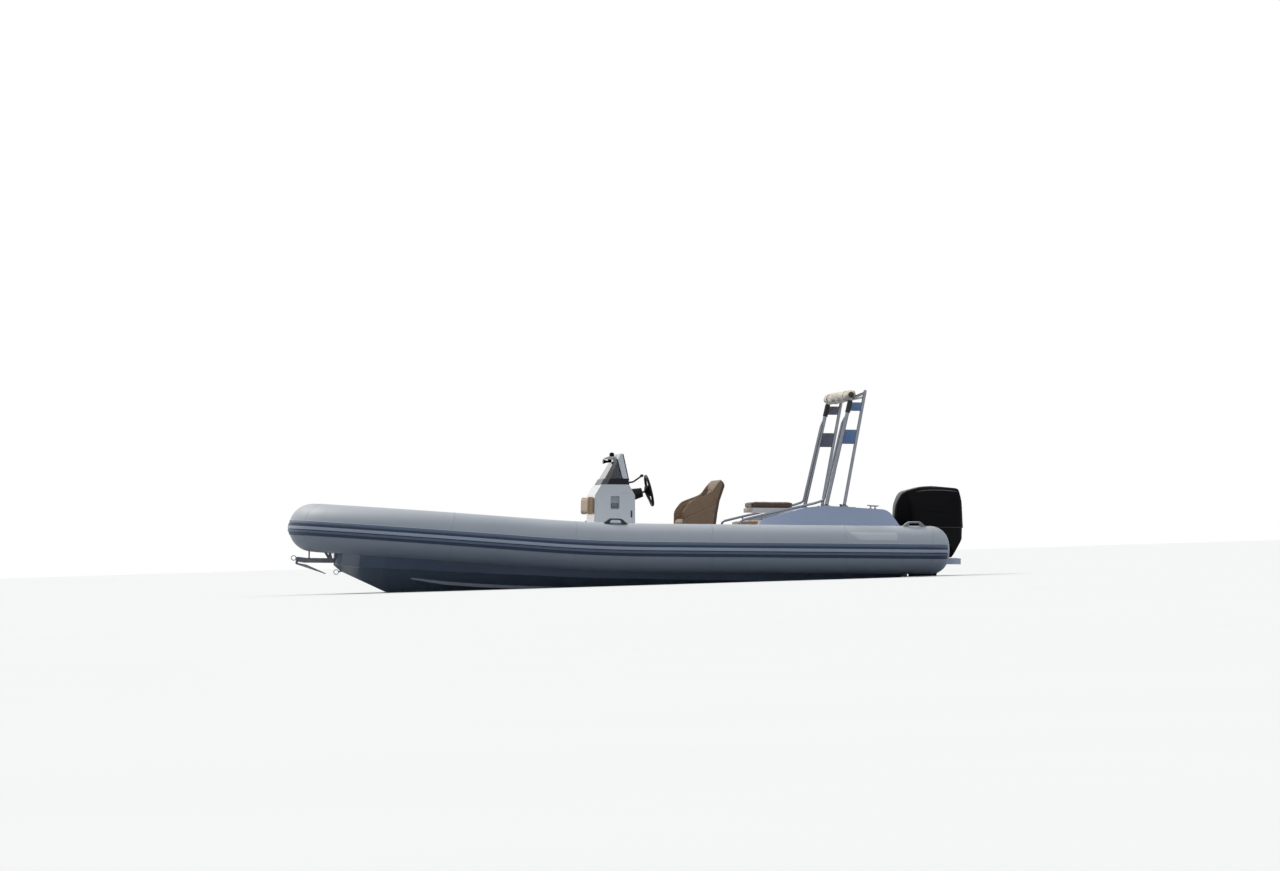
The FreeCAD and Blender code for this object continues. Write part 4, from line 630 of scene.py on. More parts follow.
def reworked(mesh, *steps):
    """The mesh after a stack of modifiers, each given as its kind and its settings."""
    piece = holder_of(mesh)
    for kind, settings in steps:
        modifier = piece.modifiers.new(kind, kind)
        for key, value in settings.items():
            setattr(modifier, key, value)
    return evaluated(piece)


def blown_up(mesh, cap):
    """Swell the mesh as cloth under air pressure, each vertex by no more than the cap."""
    piece = holder_of(mesh)
    rest = [vertex.co.copy() for vertex in mesh.vertices]
    cloth = piece.modifiers.new("cloth", "CLOTH")
    cloth.settings.quality = 5
    cloth.settings.use_pressure = True
    cloth.settings.uniform_pressure_force = CLOTH_PRESSURE
    cloth.settings.effector_weights.gravity = 0.0
    cloth.collision_settings.use_collision = False
    cloth.point_cache.frame_start = 1
    cloth.point_cache.frame_end = CLOTH_FRAMES
    for step in range(1, CLOTH_FRAMES + 1):
        scene.frame_set(step)
    swollen = evaluated(piece)
    for vertex, start, end in zip(mesh.vertices, rest, swollen.vertices):
        move = end.co - start
        if move.length > cap:
            move = move * (cap / move.length)
        vertex.co = start + move
    scene.frame_set(1)


def inflated(node, voxel, inset, cap, place, low):
    """Fine copy of a pad, blown up a little like foam under fabric; flat where it rests, at low."""
    mesh = reworked(
        welded(node),
        ("DISPLACE", {"mid_level": 0.0, "strength": -inset}),
        ("REMESH", {"mode": "VOXEL", "voxel_size": voxel}),
        ("SMOOTH", {"factor": 0.5, "iterations": 3}),
    )
    blown_up(mesh, cap)
    if low is not None:
        back = place.inverted()
        for vertex in mesh.vertices:
            level = back @ vertex.co
            if level.z < low:
                level.z = low
                vertex.co = place @ level
    return reworked(mesh, ("SUBSURF", {"levels": 1, "render_levels": 1}))


def padded_cover(name, node, rule, voxel, low=None, inset=0.006, cap=0.010, material=tan,
                 body="boat", place=AFLOAT):
    """Cover of a pad, sewn by a rule that moves each vertex in the level frame, given its normal there."""
    mesh = inflated(node, voxel, inset, cap, place, low)
    back = place.inverted()
    turn = back.to_3x3()
    normals = [(turn @ vertex.normal).normalized() for vertex in mesh.vertices]
    for vertex, normal in zip(mesh.vertices, normals):
        vertex.co = place @ rule(back @ vertex.co, normal)
    mesh.update()
    piece = dressed(name, mesh, material, 180.0, body, (node,))
    return mesh


def groove(distance, width):
    return math.exp(-(distance / width) ** 2)


def grooves(value, places, depth, width):
    return sum(depth * groove(value - place, width) for place in places)


def quilted(channels, facing="z", swell=None, hold=None):
    """Rule that sews channels, as (axis, places, depth, width), into the side that faces an axis."""
    def rule(level, normal):
        if getattr(normal, facing) > 0.3:
            depth = sum(grooves(getattr(level, axis), *channel) for axis, *channel in channels)
            lift = 0.0
            if swell:
                scale, height = swell
                lift = (noise.noise(Vector(level) * scale) - 0.1) * height
            level = level - normal * depth + Vector((0, 0, lift))
        if hold:
            hold(level)
        return level
    return rule


def piped(name, mesh, outline, material=tan_dark, body="boat", place=AFLOAT):
    """Piping sewn round an edge of a pad."""
    route = smoothed(on_surface(mesh, densified(outline, True), PIPING_R * 0.35, place), 2, True)
    made(name, [swept(route, PIPING_R, closed=True)], material, 180.0, body, place)


def bench_pad():
    front, back, wide, top = -1334.0, -1856.0, 614.0, 692.0

    def hold(level):
        level.z = min(level.z, top + 14.0)
        level.y = max(-wide - 3.0, min(wide + 3.0, level.y))

    channels = [("y", (-205.0, 205.0), 7.0, 7.0), ("x", (front - 70.0,), 4.5, 6.0)]
    rule = quilted(channels, "z", (0.012, 3.0), hold)
    mesh = padded_cover("bench_cushion_cover", "bench_cushion", rule, 0.012, 640.3)
    corners = rounded([(front, -wide), (front, wide), (back, wide), (back, -wide)], 22.0, 4)
    piped("bench_cushion_piping", mesh, [(x, y, top - 8.0) for x, y in corners])


def backrest_pad():
    front, back, wide, top = -1425.0, -1880.0, 288.0, 886.0
    rule = quilted([("x", (-1530.0, -1650.0, -1770.0), 5.0, 6.0)], "z", (0.02, 2.0))
    mesh = padded_cover("backrest_cushion_cover", "backrest_cushion", rule, 0.009, 828.3, 0.005, 0.009,
                        brown, "backrest")
    corners = rounded([(front, -wide), (front, wide), (back, wide), (back, -wide)], 45.0, 6)
    piped("backrest_piping", mesh, [(x, y, top - 8.0) for x, y in corners], brown, "backrest")
    trim = slab(rectangle(2 * wide - 90.0, 44.0, 16.0), 5.0, (front - 1.0, 0, 804.0), PORT, UP, 2.0)
    made("backrest_board_pad", [trim], tan, body="backrest")


def console_back_pad():
    lean = math.atan2(17.0, 744.0)

    def face(z):
        return 245.0 - (z - 200.0) * math.tan(lean)

    def hold(level):
        level.x = max(level.x, face(level.z) + 0.4)

    rule = quilted([("y", (-226.0, -113.0, 0.0, 113.0, 226.0), 6.0, 6.0)], "x", None, hold)
    mesh = padded_cover("console_backrest_cover", "console_backrest", rule, 0.008)
    corners = box_outline(-336.0, 336.0, 744.0, 926.0, 22.0)
    piped("console_backrest_piping", mesh, [(face(z) + 60.0, y, z) for y, z in corners])


def console_seat_pad():
    def hold(level):
        level.x = max(level.x, 246.0)

    rule = quilted([("y", (-165.0, 0.0, 165.0), 6.0, 6.0), ("x", (600.0,), 5.0, 6.0)], "z", None, hold)
    mesh = padded_cover("console_seat_cover", "console_seat_cushion", rule, 0.010, 480.3)
    corners = box_outline(251.0, 668.0, -322.0, 322.0, 18.0, 4)
    piped("console_seat_piping", mesh, [(x, y, 532.0) for x, y in corners])


def seat_back_line(z):
    """How far forward the helm seat's dark back panel wraps round its sides."""
    lean = -1041.0 - (z - 640.0) * 0.17 if z < 900.0 else -1085.0 - (z - 900.0) * 0.32
    return max(lean, -1139.0) + 24.0


def helm_seat():
    low = 600.3
    pad_wide = 337.0

    def sewn(level, normal):
        depth = 0.0
        if abs(normal.y) > 0.6 and abs(level.y) > 330.0:
            depth += 4.0 * groove((level.z - 790.0) + (level.x + 900.0) * 0.45, 6.0)
        if normal.x > 0.4 and abs(level.y) < 335.0:
            depth += grooves(level.y, (-170.0, 0.0, 170.0), 6.0, 7.0) + 6.0 * groove(level.z - 1010.0, 7.0)
        level = level - normal * depth
        level.z = max(level.z, low)
        return level

    def hold(level):
        level.y = max(-pad_wide, min(pad_wide, level.y))

    # The seat's shell and pad take the darker tan, which is painted shade.
    shell = padded_cover("helm_seat_cover", "helm_seat_shell", sewn, 0.011, low, 0.005, 0.009, tan_painted_shade)
    shell.materials.append(brown)
    for face in shell.polygons:
        level = BACK @ face.center
        if level.x < seat_back_line(level.z) or (level.z > 1108.0 and level.x < -1092.0):
            face.material_index = 1
    seam = [(seat_back_line(z), z) for z in (652.0, 700.0, 780.0, 860.0, 930.0, 1000.0, 1060.0, 1104.0)]
    for name, side in (("port", 1), ("starboard", -1)):
        route = seam_route(shell, [(x, side * 404.0, z) for x, z in seam], 0.6)
        made(f"helm_seat_back_piping_{name}", [swept(route, 2.8)], brown, 180.0)
    rule = quilted([("y", (-170.0, 0.0, 170.0), 6.0, 6.0), ("x", (-770.0,), 5.0, 6.0)], "z", None, hold)
    padded_cover("helm_seat_pad", "helm_seat_cushion", rule, 0.010, 645.3, material=tan_painted_shade)
    edge = ((-686.0, 640.0), (-690.0, 770.0), (-706.0, 830.0), (-766.0, 893.0), (-870.0, 936.0),
            (-968.0, 978.0), (-1020.0, 1024.0), (-1060.0, 1080.0), (-1094.0, 1132.0))
    for name, side in (("port", 1), ("starboard", -1)):
        for edge_name, y in (("outer", 392.0), ("inner", 346.0)):
            route = seam_route(shell, [(x, side * y, z) for x, z in edge], 1.0)
            piping = swept(route, PIPING_R)
            made(f"helm_seat_piping_{name}_{edge_name}", [piping], tan_dark, 180.0)


def bow_pad():
    low = 480.8
    place = AFLOAT @ RISE
    rule = quilted([("y", (0.0,), 6.0, 7.0), ("x", (1710.0, 1930.0, 2150.0), 6.0, 7.0)], "z", (0.012, 3.0))
    mesh = padded_cover("bow_cushion_cover", "bow_cushion", rule, 0.012, low, cap=0.012, body="bow_lid",
                        place=place)
    corners = rounded([(1488.0, -362.0), (2362.0, -272.0), (2362.0, 272.0), (1488.0, 362.0)], 50.0, 6)
    piped("bow_cushion_piping", mesh, [(x, y, low + 50.0) for x, y in corners], tan_dark, "bow_lid", place)


def rolled_canvas():
    """Sun top rolled up round the arch's front bar: wrinkled, slack between its ties, with gathered ends."""
    x, z, radius, wide = -2400.0, 2007.0, 59.0, 810.0
    sections = 120
    sides = 48
    ties = (-560.0, -190.0, 190.0, 560.0)
    vertices = []
    for step in range(sections + 1):
        share = step / sections * 2 - 1
        y = wide * share
        bow = math.cos(share * math.pi / 2)
        gather = 1 - 0.5 * max(0.0, (abs(share) - 0.93) / 0.07) ** 1.6
        waist = 1 - grooves(y, ties, 0.13, 26.0)
        belly = 0.93 + 0.10 * bow
        slack = -5.0 * bow - 3.0 * math.sin(y * 0.0085) ** 2
        for angle in circle(sides):
            c, s = math.cos(angle), math.sin(angle)
            spiral = 0.05 * math.sin(angle * 2 + y * 0.004) + 0.025 * math.sin(angle * 5 - y * 0.013)
            spot = Vector((c * 2.2, s * 2.2, y * 0.009))
            folds = 0.10 * noise.noise(spot) + 0.07 * (0.4 - abs(noise.noise(spot * 2.3)))
            creases = 0.03 * (0.35 - abs(noise.noise(Vector((c * 4, s * 4, y * 0.04)))))
            pinch = grooves(y, ties, 0.035, 60.0) * math.sin(angle * 11)
            reach = radius * gather * waist * belly * (0.96 + spiral + folds + creases + pinch)
            vertices.append(Vector((x + c * reach, y, z + slack + s * reach * 0.97)))
    cloth = (vertices, skinned(sides, sections + 1))
    roll = made("canvas_roll_cloth", [cloth], canvas, 180.0, replaces=("canvas_roll",))
    bands = []
    for tie in ties:
        ring = [(x + math.cos(angle) * radius * 0.88, tie, z - 4.0 + math.sin(angle) * radius * 0.86)
                for angle in circle(40)]
        bands.append(swept(ring, 3.2, closed=True, flat=4.0, up=PORT))
    made("canvas_ties", bands, canvas_tie, 60.0)
    profile = [(-16.0, 30.0), (-6.0, 33.0), (4.0, 29.0), (10.0, 20.0), (13.0, 6.0)]
    ends = [turned(profile, (x, side * (wide - 2.0), z), (0, side, 0), 30) for side in (-1, 1)]
    gathers = made("canvas_end_gathers", ends, canvas_tie, 60.0)


bench_pad()
backrest_pad()
console_back_pad()
console_seat_pad()
helm_seat()
bow_pad()
rolled_canvas()


# Collar: a station is the centre, heading, outboard and upright at one place on its axis

CAP_X = -3207.0
EDGE_R = TUBE_R + 2.0
STRAKE_R = TUBE_R + 7.0
TOP_EDGE = 60.0
BOTTOM_EDGE = -87.0
UPPER_BAND = (25.0, 58.0)
LOWER_LINE = (-57.0, -37.0)
UPPER_LIFT = 2.2
LOWER_LIFT = 6.0
HANDLE_PATCH = rectangle(262.0, 104.0, 50.0, 10)
HANDLE_TURN = 78.0
VALVE_TURN = 128.0


def side_station(x):
    """Station on the port side."""
    pitch = 0.0
    rise = 0.0
    if x > SHEER_END:
        pitch = RISE_TURN
        rise = (x - RISE_X) * math.tan(pitch)
    elif x > SHEER_START:
        pitch = math.asin((x - SHEER_START) / SHEER_R)
        rise = SHEER_R * (1 - math.cos(pitch))
    heading = Vector((math.cos(pitch), 0, math.sin(pitch)))
    upright = Vector((-math.sin(pitch), 0, math.cos(pitch)))
    return Vector((x, TUBE_Y, TUBE_Z + rise)), heading, Vector(PORT), upright


def bow_station(degrees):
    """Station at a heading turned from straight ahead, 0 at the port shoulder and 180 at the other."""
    turn = math.radians(degrees)
    middle, radius = (NOSE_X, 0), NOSE_R
    if turn <= SHOULDER_TURN:
        middle, radius = (SHOULDER_X, SHOULDER_Y), SHOULDER_R
    elif turn > math.pi - SHOULDER_TURN:
        middle, radius = (SHOULDER_X, -SHOULDER_Y), SHOULDER_R
    outboard = Vector((math.sin(turn), math.cos(turn), 0))
    heading = Vector((math.cos(turn), -math.sin(turn), 0))
    spin = RISE.to_3x3()
    centre = Vector((*middle, TUBE_Z)) + outboard * radius
    return RISE @ centre, spin @ heading, spin @ outboard, spin @ Vector(UP)


def collar_stations():
    """Stations round the whole collar, from the port stern to the starboard stern."""
    xs = (-3208.0, -2200.0, -1200.0, -300.0, -100.0, 100.0, 300.0, 500.0, 700.0, 900.0, 1150.0)
    side = [side_station(x) for x in xs]
    bow = [bow_station(2.5 * step) for step in range(73)]
    flip = Vector((1, -1, 1))
    other = [(centre * flip, -heading, outboard * flip, upright)
             for centre, heading, outboard, upright in reversed(side)]
    return side + bow + other


def tube_point(station, angle, radius, along=0.0):
    """Point at an angle round the tube, measured up from outboard."""
    centre, heading, outboard, upright = station
    return centre + heading * along + (outboard * math.cos(angle) + upright * math.sin(angle)) * radius


def edge_line(height, radius):
    """Piping along the whole collar at one height over its axis."""
    angle = math.asin(height / EDGE_R)
    return swept([tube_point(station, angle, EDGE_R) for station in collar_line], radius, 6)


def long_band(heights, radius, thick):
    """Band laid along the whole collar between two heights over its axis."""
    low, high = heights
    section = ((low, -0.5), (low + 2.0, thick), (high - 2.0, thick), (high, -0.5))
    rows = [[tube_point(station, math.asin(height / radius), radius + rise) for height, rise in section]
            for station in collar_line]
    return strip(rows, turned_over=True)


def on_cap(x, height):
    """Point and normal on the tube's stern cap."""
    return cast("tube_port", (x, TUBE_Y + 600.0, TUBE_Z + height), (0, -1, 0))


def cap_band(heights, rise, lift):
    """Band carried on round the tube's stern cap, thinning out at its end."""
    low, high = heights
    section = ((low, 0.0), (low + 2.0, lift), (high - 2.0, lift), (high, 0.0))
    steps = 22
    rows = []
    for step in range(steps + 1):
        share = step / steps
        thin = min(1.0, (1.0 - share) * 6.0)
        x = CAP_X - 160.0 * math.sin(share * math.pi / 2)
        row = []
        for height, up in section:
            spot, normal = on_cap(x, height)
            row.append(spot + normal * (rise + up) * thin)
        rows.append(row)
    return strip(rows, turned_over=True)


def cap_piping(height, radius):
    """Thin piping carried on round the stern cap at one height over the tube's axis."""
    route = []
    for step in range(19):
        spot, normal = on_cap(CAP_X - 158.0 * math.sin(step / 18 * math.pi / 2), height)
        route.append(spot + normal * 2.0)
    return swept(route, [radius] * 17 + [radius * 0.7, radius * 0.3], 6)


def seam_tape(station):
    """Tape round the tube, open at the liner: a thin band with tapered edges."""
    wide, lift, start, end, steps = 30.0, 0.9, 16.0, 337.0, 56
    section = ((-0.5, 0.15), (-0.44, 1.0), (0.44, 1.0), (0.5, 0.15))
    angles = [math.radians(between(start, end, step / steps)) for step in range(steps + 1)]
    return strip([
        [tube_point(station, angle, TUBE_R + lift * rise, wide * share) for share, rise in section]
        for angle in angles
    ])


def tube_patch(x, points, lift, turn):
    """Patch laid on the tube: outline of (along, round) in millimetres, centred at an angle."""
    station = side_station(x)
    inner = offset_outline(points, 2.0)
    middle = Vector((sum(p[0] for p in points), sum(p[1] for p in points))) / len(points)
    rings = [(points, 0.1), (inner, lift)]
    rings += [([tuple(Vector(p).lerp(middle, inset)) for p in inner], lift) for inset in (0.25, 0.5, 0.75)]
    vertices = [
        tube_point(station, math.radians(turn) - round_way / TUBE_R, TUBE_R + rise, along)
        for ring, rise in rings for along, round_way in ring
    ]
    face = tuple(range(len(vertices) - len(points), len(vertices)))
    return vertices, [face] + skinned(len(points), len(rings), capped=False)


def collar_dress():
    made("strake_edge_top", [edge_line(TOP_EDGE, 2.6)], piping_white)
    made("strake_edge_bottom", [edge_line(BOTTOM_EDGE, 3.4)], strake_dark)
    made("strake_upper_band", [long_band(UPPER_BAND, TUBE_R, UPPER_LIFT)], strake_blue, 60.0)
    made("strake_lower_line", [long_band(LOWER_LINE, STRAKE_R, LOWER_LIFT)], strake_blue, 60.0)
    for name, heights, rise, lift, material in (
        ("base", (-84.0, 24.0), 0.0, 7.0, strake_dark),
        ("line", (-26.0, 4.0), 6.5, 4.5, strake_light),
        ("lower_line", LOWER_LINE, 6.5, LOWER_LIFT, strake_blue),
        ("upper_band", UPPER_BAND, 0.0, UPPER_LIFT, strake_blue),
    ):
        made(f"strake_return_{name}", both([cap_band(heights, rise, lift)]), material, 60.0)
    made("strake_return_piping", both([cap_piping(TOP_EDGE, 2.6)]), piping_white, 180.0)
    made("strake_return_edge", both([cap_piping(BOTTOM_EDGE, 3.4)]), strake_dark, 180.0)
    stations = [side_station(x) for x in (-2290.0, -900.0, 520.0, -3204.0)]
    stations += [bow_station(degrees) for degrees in (9.0, 58.0)]
    made("collar_seams", both([seam_tape(station) for station in stations]), collar_tape)


def collar_patches():
    wear = [tube_patch(90.0, HANDLE_PATCH, 2.2, HANDLE_TURN)]
    made("collar_handle_patches", both(wear), patch_grey)
    sign = [Vector(corner) for corner in ((258.0, -50.0), (150.0, 50.0), (-245.0, 50.0), (-258.0, -50.0))]
    edge = [tuple(start.lerp(end, step / 14))
            for start, end in zip(sign, sign[1:] + sign[:1]) for step in range(14)]
    made("collar_plain_patch", both([tube_patch(-2580.0, edge, 1.4, 33.0)]), patch_plain)
    stern = [tube_patch(-3030.0, HANDLE_PATCH, 1.8, HANDLE_TURN)]
    made("stern_handle_patches", both(stern), collar_tape)
    bases = []
    caps = []
    for station in (side_station(-1180.0), side_station(760.0), bow_station(40.0)):
        spot = tube_point(station, math.radians(VALVE_TURN), TUBE_R)
        out = spot - station[0]
        bases.append(turned([(-3.0, 30.0), (2.0, 30.0), (4.0, 27.0), (4.5, 20.0)], spot, out, 32))
        caps.append(turned([(3.0, 19.0), (9.0, 18.0), (11.0, 15.0), (11.5, 3.0)], spot, out, 24))
    made("valve_bases", both(bases), patch_grey)
    made("valve_caps", both(caps), black_matte)


collar_line = collar_stations()
collar_dress()
collar_patches()


# Engine

ENGINE_MIDDLE = Vector((-3346.0, 0.0, 850.0))
SPLIT_Z = 640.0
SOFT_RISE = 70.0
COWL_CREASES = (
    # start x, start z, end x, end z, depth
    (-3240.0, 796.0, -3665.0, 793.0, 3.2),
    (-3340.0, 786.0, -3665.0, 764.0, 2.4),
)
# Route of the painted highlight along each upper edge of the cowl.
SHOULDER = ((-3190.0, 1024.0), (-3280.0, 1044.0), (-3370.0, 1053.0), (-3480.0, 1052.0), (-3590.0, 1040.0),
            (-3655.0, 1026.0))


def engine_cowl_cover():
    """Cowl drawn round the node's outline with soft edges and two creases pressed in on each side."""
    tree = tree_from(nodes["engine_cowl"].data)
    shaped = bmesh.new()
    bmesh.ops.create_cube(shaped, size=2.0)
    bmesh.ops.subdivide_edges(shaped, edges=shaped.edges[:], cuts=79, use_grid_fill=True)
    middle = AFLOAT @ ENGINE_MIDDLE
    for vertex in shaped.verts:
        heading = vertex.co.normalized()
        vertex.co = tree.ray_cast(middle + heading * 2.0, -heading)[0]
    sharp = bpy.data.meshes.new("cowl")
    shaped.to_mesh(sharp)
    shaped.free()
    smooth = reworked(sharp, ("SMOOTH", {"factor": 0.5, "iterations": 48}))
    for vertex, hard in zip(smooth.vertices, sharp.vertices):
        level = BACK @ hard.co
        level = level.lerp(BACK @ vertex.co, min(1.0, max(0.0, (level.z - SPLIT_Z) / SOFT_RISE)))
        if abs(level.y) > 110.0:
            for start_x, start_z, end_x, end_z, depth in COWL_CREASES:
                along = (level.x - start_x) / (end_x - start_x)
                if 0.0 < along < 1.0:
                    fade = min(1.0, along * 6.0, (1.0 - along) * 6.0)
                    away = level.z - between(start_z, end_z, along)
                    level.y -= math.copysign(depth * fade * groove(away, 7.0), level.y)
        vertex.co = AFLOAT @ level
    dressed("engine_cowl_cover", smooth, black_gloss, 70.0, "engine", ("engine_cowl",))
    return smooth


def engine_trim(cowl):
    """Seal between the covers, a painted highlight along each upper edge of the cowl, and the latch."""
    ring = []
    for angle in circle(72):
        heading = Vector((math.cos(angle), math.sin(angle) * 0.7, 0))
        start = ENGINE_MIDDLE + heading * 1200.0
        start.z = SPLIT_Z + 2.0
        ring.append(cast("engine_cowl", start, -heading)[0])
    seal = swept(smoothed(ring, 2, True), 4.5, closed=True)
    made("engine_seal", [seal], rubber, 180.0, "engine")
    lines = []
    for side in (-1, 1):
        route = seam_route(cowl, [(x, side * 212.0, z) for x, z in SHOULDER], 0.6)
        last = len(route) - 1
        radii = [3.2 * min(1.0, 0.25 + index / 8, 0.25 + (last - index) / 8) for index in range(last + 1)]
        lines.append(swept(route, radii))
    made("engine_shoulder_painted_highlight", lines, engine_painted_highlight, 180.0, "engine")
    latch = slab(rectangle(70.0, 26.0, 8.0), 9.0, (-2989.0, 0, 700.0), (0, -1, 0), UP, 4.0)
    made("engine_latch", [latch], bracket_dark, 60.0, "engine")


engine_trim(engine_cowl_cover())


# Arch: bolted covers on its plates, coloured with painted reflections, struts and feet

FOOT_Z = 852.0
FRONT_LEG = (-2150.0, -2400.0, 1975.0)
REAR_LEG = (-2338.0, -2550.0, 2045.0)
ARCH_Y = 775.0
STRUT = ((-2425.0, 1983.0), (-2470.0, 2004.0), (-2548.0, 2036.0))
BOLT_CIRCLE = 31.0


def leg_x(leg, z):
    foot_x, top_x, top_z = leg
    return between(foot_x, top_x, (z - FOOT_Z) / (top_z - FOOT_Z))


def arch_dress():
    # Port covers carry a painted sky reflection in blue, and starboard covers a painted dark reflection in
    # grey.
    for name, middle, material in (("port", ARCH_Y, gusset_painted_sky_reflection), ("starboard", -ARCH_Y, gusset_painted_dark_reflection)):
        covers = []
        bolts = []
        for low, high in ((1496.0, 1644.0), (1841.0, 1929.0)):
            corners = [
                (leg_x(FRONT_LEG, low) - 12.0, low), (leg_x(REAR_LEG, low) + 10.0, low),
                (leg_x(REAR_LEG, high) + 10.0, high), (leg_x(FRONT_LEG, high) - 12.0, high),
            ]
            for side in (1, -1):
                covers.append(side_plate(rounded(corners, 6.0, 3), middle + side * 3.0, 4.0, side, 1.2))
                for along in (0.22, 0.78):
                    for z in (low + 16.0, high - 16.0):
                        x = between(leg_x(FRONT_LEG, z), leg_x(REAR_LEG, z), along)
                        bolts.append(bolt((x, middle + side * 7.0, z), (0, side, 0), 6.0))
        made(f"arch_plate_painted_reflections_{name}", covers, material, 30.0)
        made(f"arch_cover_bolts_{name}", bolts, stainless, 50.0)
    struts = [swept([(x, side * ARCH_Y, z) for x, z in STRUT], 8.0, 12) for side in (-1, 1)]
    for side in (-1, 1):
        for profile, x, z in (
            ([(-14.0, 12.0), (-10.0, 14.0), (10.0, 14.0), (14.0, 12.0)], -2425.0, 1983.0),
            ([(-12.0, 10.0), (-9.0, 12.0), (9.0, 12.0), (12.0, 10.0)], -2546.0, 2036.0),
        ):
            struts.append(turned(profile, (x, side * ARCH_Y, z), PORT, 20))
    made("arch_struts", struts, black_matte, 60.0)
    boots = []
    bolts = []
    boot = [(0.0, 29.0), (3.0, 28.0), (9.0, 23.0), (12.0, 21.0)]
    for x, _, _ in (FRONT_LEG, REAR_LEG):
        boots.append(turned(boot, (x, ARCH_Y, FOOT_Z), UP, 32))
        for step in range(4):
            angle = math.tau * (step + 0.5) / 4
            spot = (x + BOLT_CIRCLE * math.cos(angle), ARCH_Y + BOLT_CIRCLE * math.sin(angle), FOOT_Z)
            bolts.append(bolt(spot, UP, 5.0))
    made("arch_foot_bolts", both(bolts), stainless, 50.0)
    made("arch_foot_boots", both(boots), rubber, 60.0)


arch_dress()


# Screen trims: each plan is a height with the front corner, the side corner and the back edge there

SCREEN_LOW = (1055.0, 153.0, 300.0, 95.0, 378.0, -132.0)
SCREEN_HIGH = (1380.0, -34.0, 205.0, -52.0, 262.0, -74.0)


def screen_plan(z, grow):
    """The screen's outline from its port back edge round to the starboard one, at a height."""
    share = (z - SCREEN_LOW[0]) / (SCREEN_HIGH[0] - SCREEN_LOW[0])
    front_x, front_y, corner_x, side_y, back_x = (
        between(low, high, share) for low, high in zip(SCREEN_LOW[1:], SCREEN_HIGH[1:]))
    points = [
        (back_x, side_y + grow),
        (corner_x + grow * 0.6, side_y + grow),
        (front_x + grow, front_y + grow * 0.4),
    ]
    return [Vector((x, y, z)) for x, y in points] + [Vector((x, -y, z)) for x, y in reversed(points)]


def screen_dress():
    rows = [screen_plan(z, grow) for z, grow in ((1055.5, 3.0), (1058.0, 8.0), (1115.0, 8.0), (1119.0, 2.2))]
    made("screen_base_band", [strip(rows)], band_dark, 30.0)
    seals = []
    for low, high, radius in (
        ((-62.0, 1096.0), (-12.0, 1322.0), 6.0),
        ((-127.0, 1098.0), (-77.0, 1374.0), 5.0),
    ):
        for side in (-1, 1):
            route = []
            for step in range(9):
                x, z = Vector(low).lerp(Vector(high), step / 8)
                route.append((x, side * screen_plan(z, 2.4)[0].y, z))
            seals.append(swept(route, radius))
    made("screen_post_seals", seals, band_dark, 180.0)


screen_dress()


# Console fittings

CONSOLE_Y = 400.0
CONSOLE_AFT = -200.0
POCKET_Y = 368.0
POCKET = box_outline(-28.0, 68.0, 798.0, 936.0, 14.0, 6)
HELM_FACE = Vector((-158.0, 0.0, 998.5))
FACE_UP = Vector((64.0, 0.0, 113.0)).normalized()
FACE_OUT = Vector((-113.0, 0.0, 64.0)).normalized()
FACE_ACROSS = Vector((0, -1, 0))


def console_sides():
    rims, linings, insets, latches, lines = [], [], [], [], []
    low = box_outline(-20.0, 60.0, 806.0, 862.0, 12.0)
    tall = box_outline(-162.0, -146.0, 711.0, 785.0, 6.0, 4)
    for side in (1, -1):
        rims.append(swept([(x, side * (CONSOLE_Y + 0.6), z) for x, z in POCKET], 3.6, closed=True))
        # The lining darkens the inside of each pocket: painted shade.
        linings.append(side_plate(offset_outline(POCKET, 1.0), side * (POCKET_Y + 0.5), 1.0, side))
        # A darker plate in the pocket's lower half: painted shade.
        insets.append(side_plate(low, side * (POCKET_Y + 1.5), 5.0, side, 2.0))
        latches.append(side_plate(tall, side * (CONSOLE_Y - 0.2), 5.0, side, 2.0))
        lines.append(swept([(x, side * (CONSOLE_Y - 0.4), 963.0) for x in (-132.0, -18.0)], 1.8, 6))
    made("console_pocket_rims", rims, gelcoat, 180.0)
    made("console_pocket_painted_shade_linings", linings, joint_grey_and_pocket_shade)
    made("console_pocket_lower_painted_shade", insets, pocket_lower_painted_shade)
    made("console_latches", latches, bracket_dark)
    made("console_panel_lines", lines, joint_grey_and_pocket_shade)


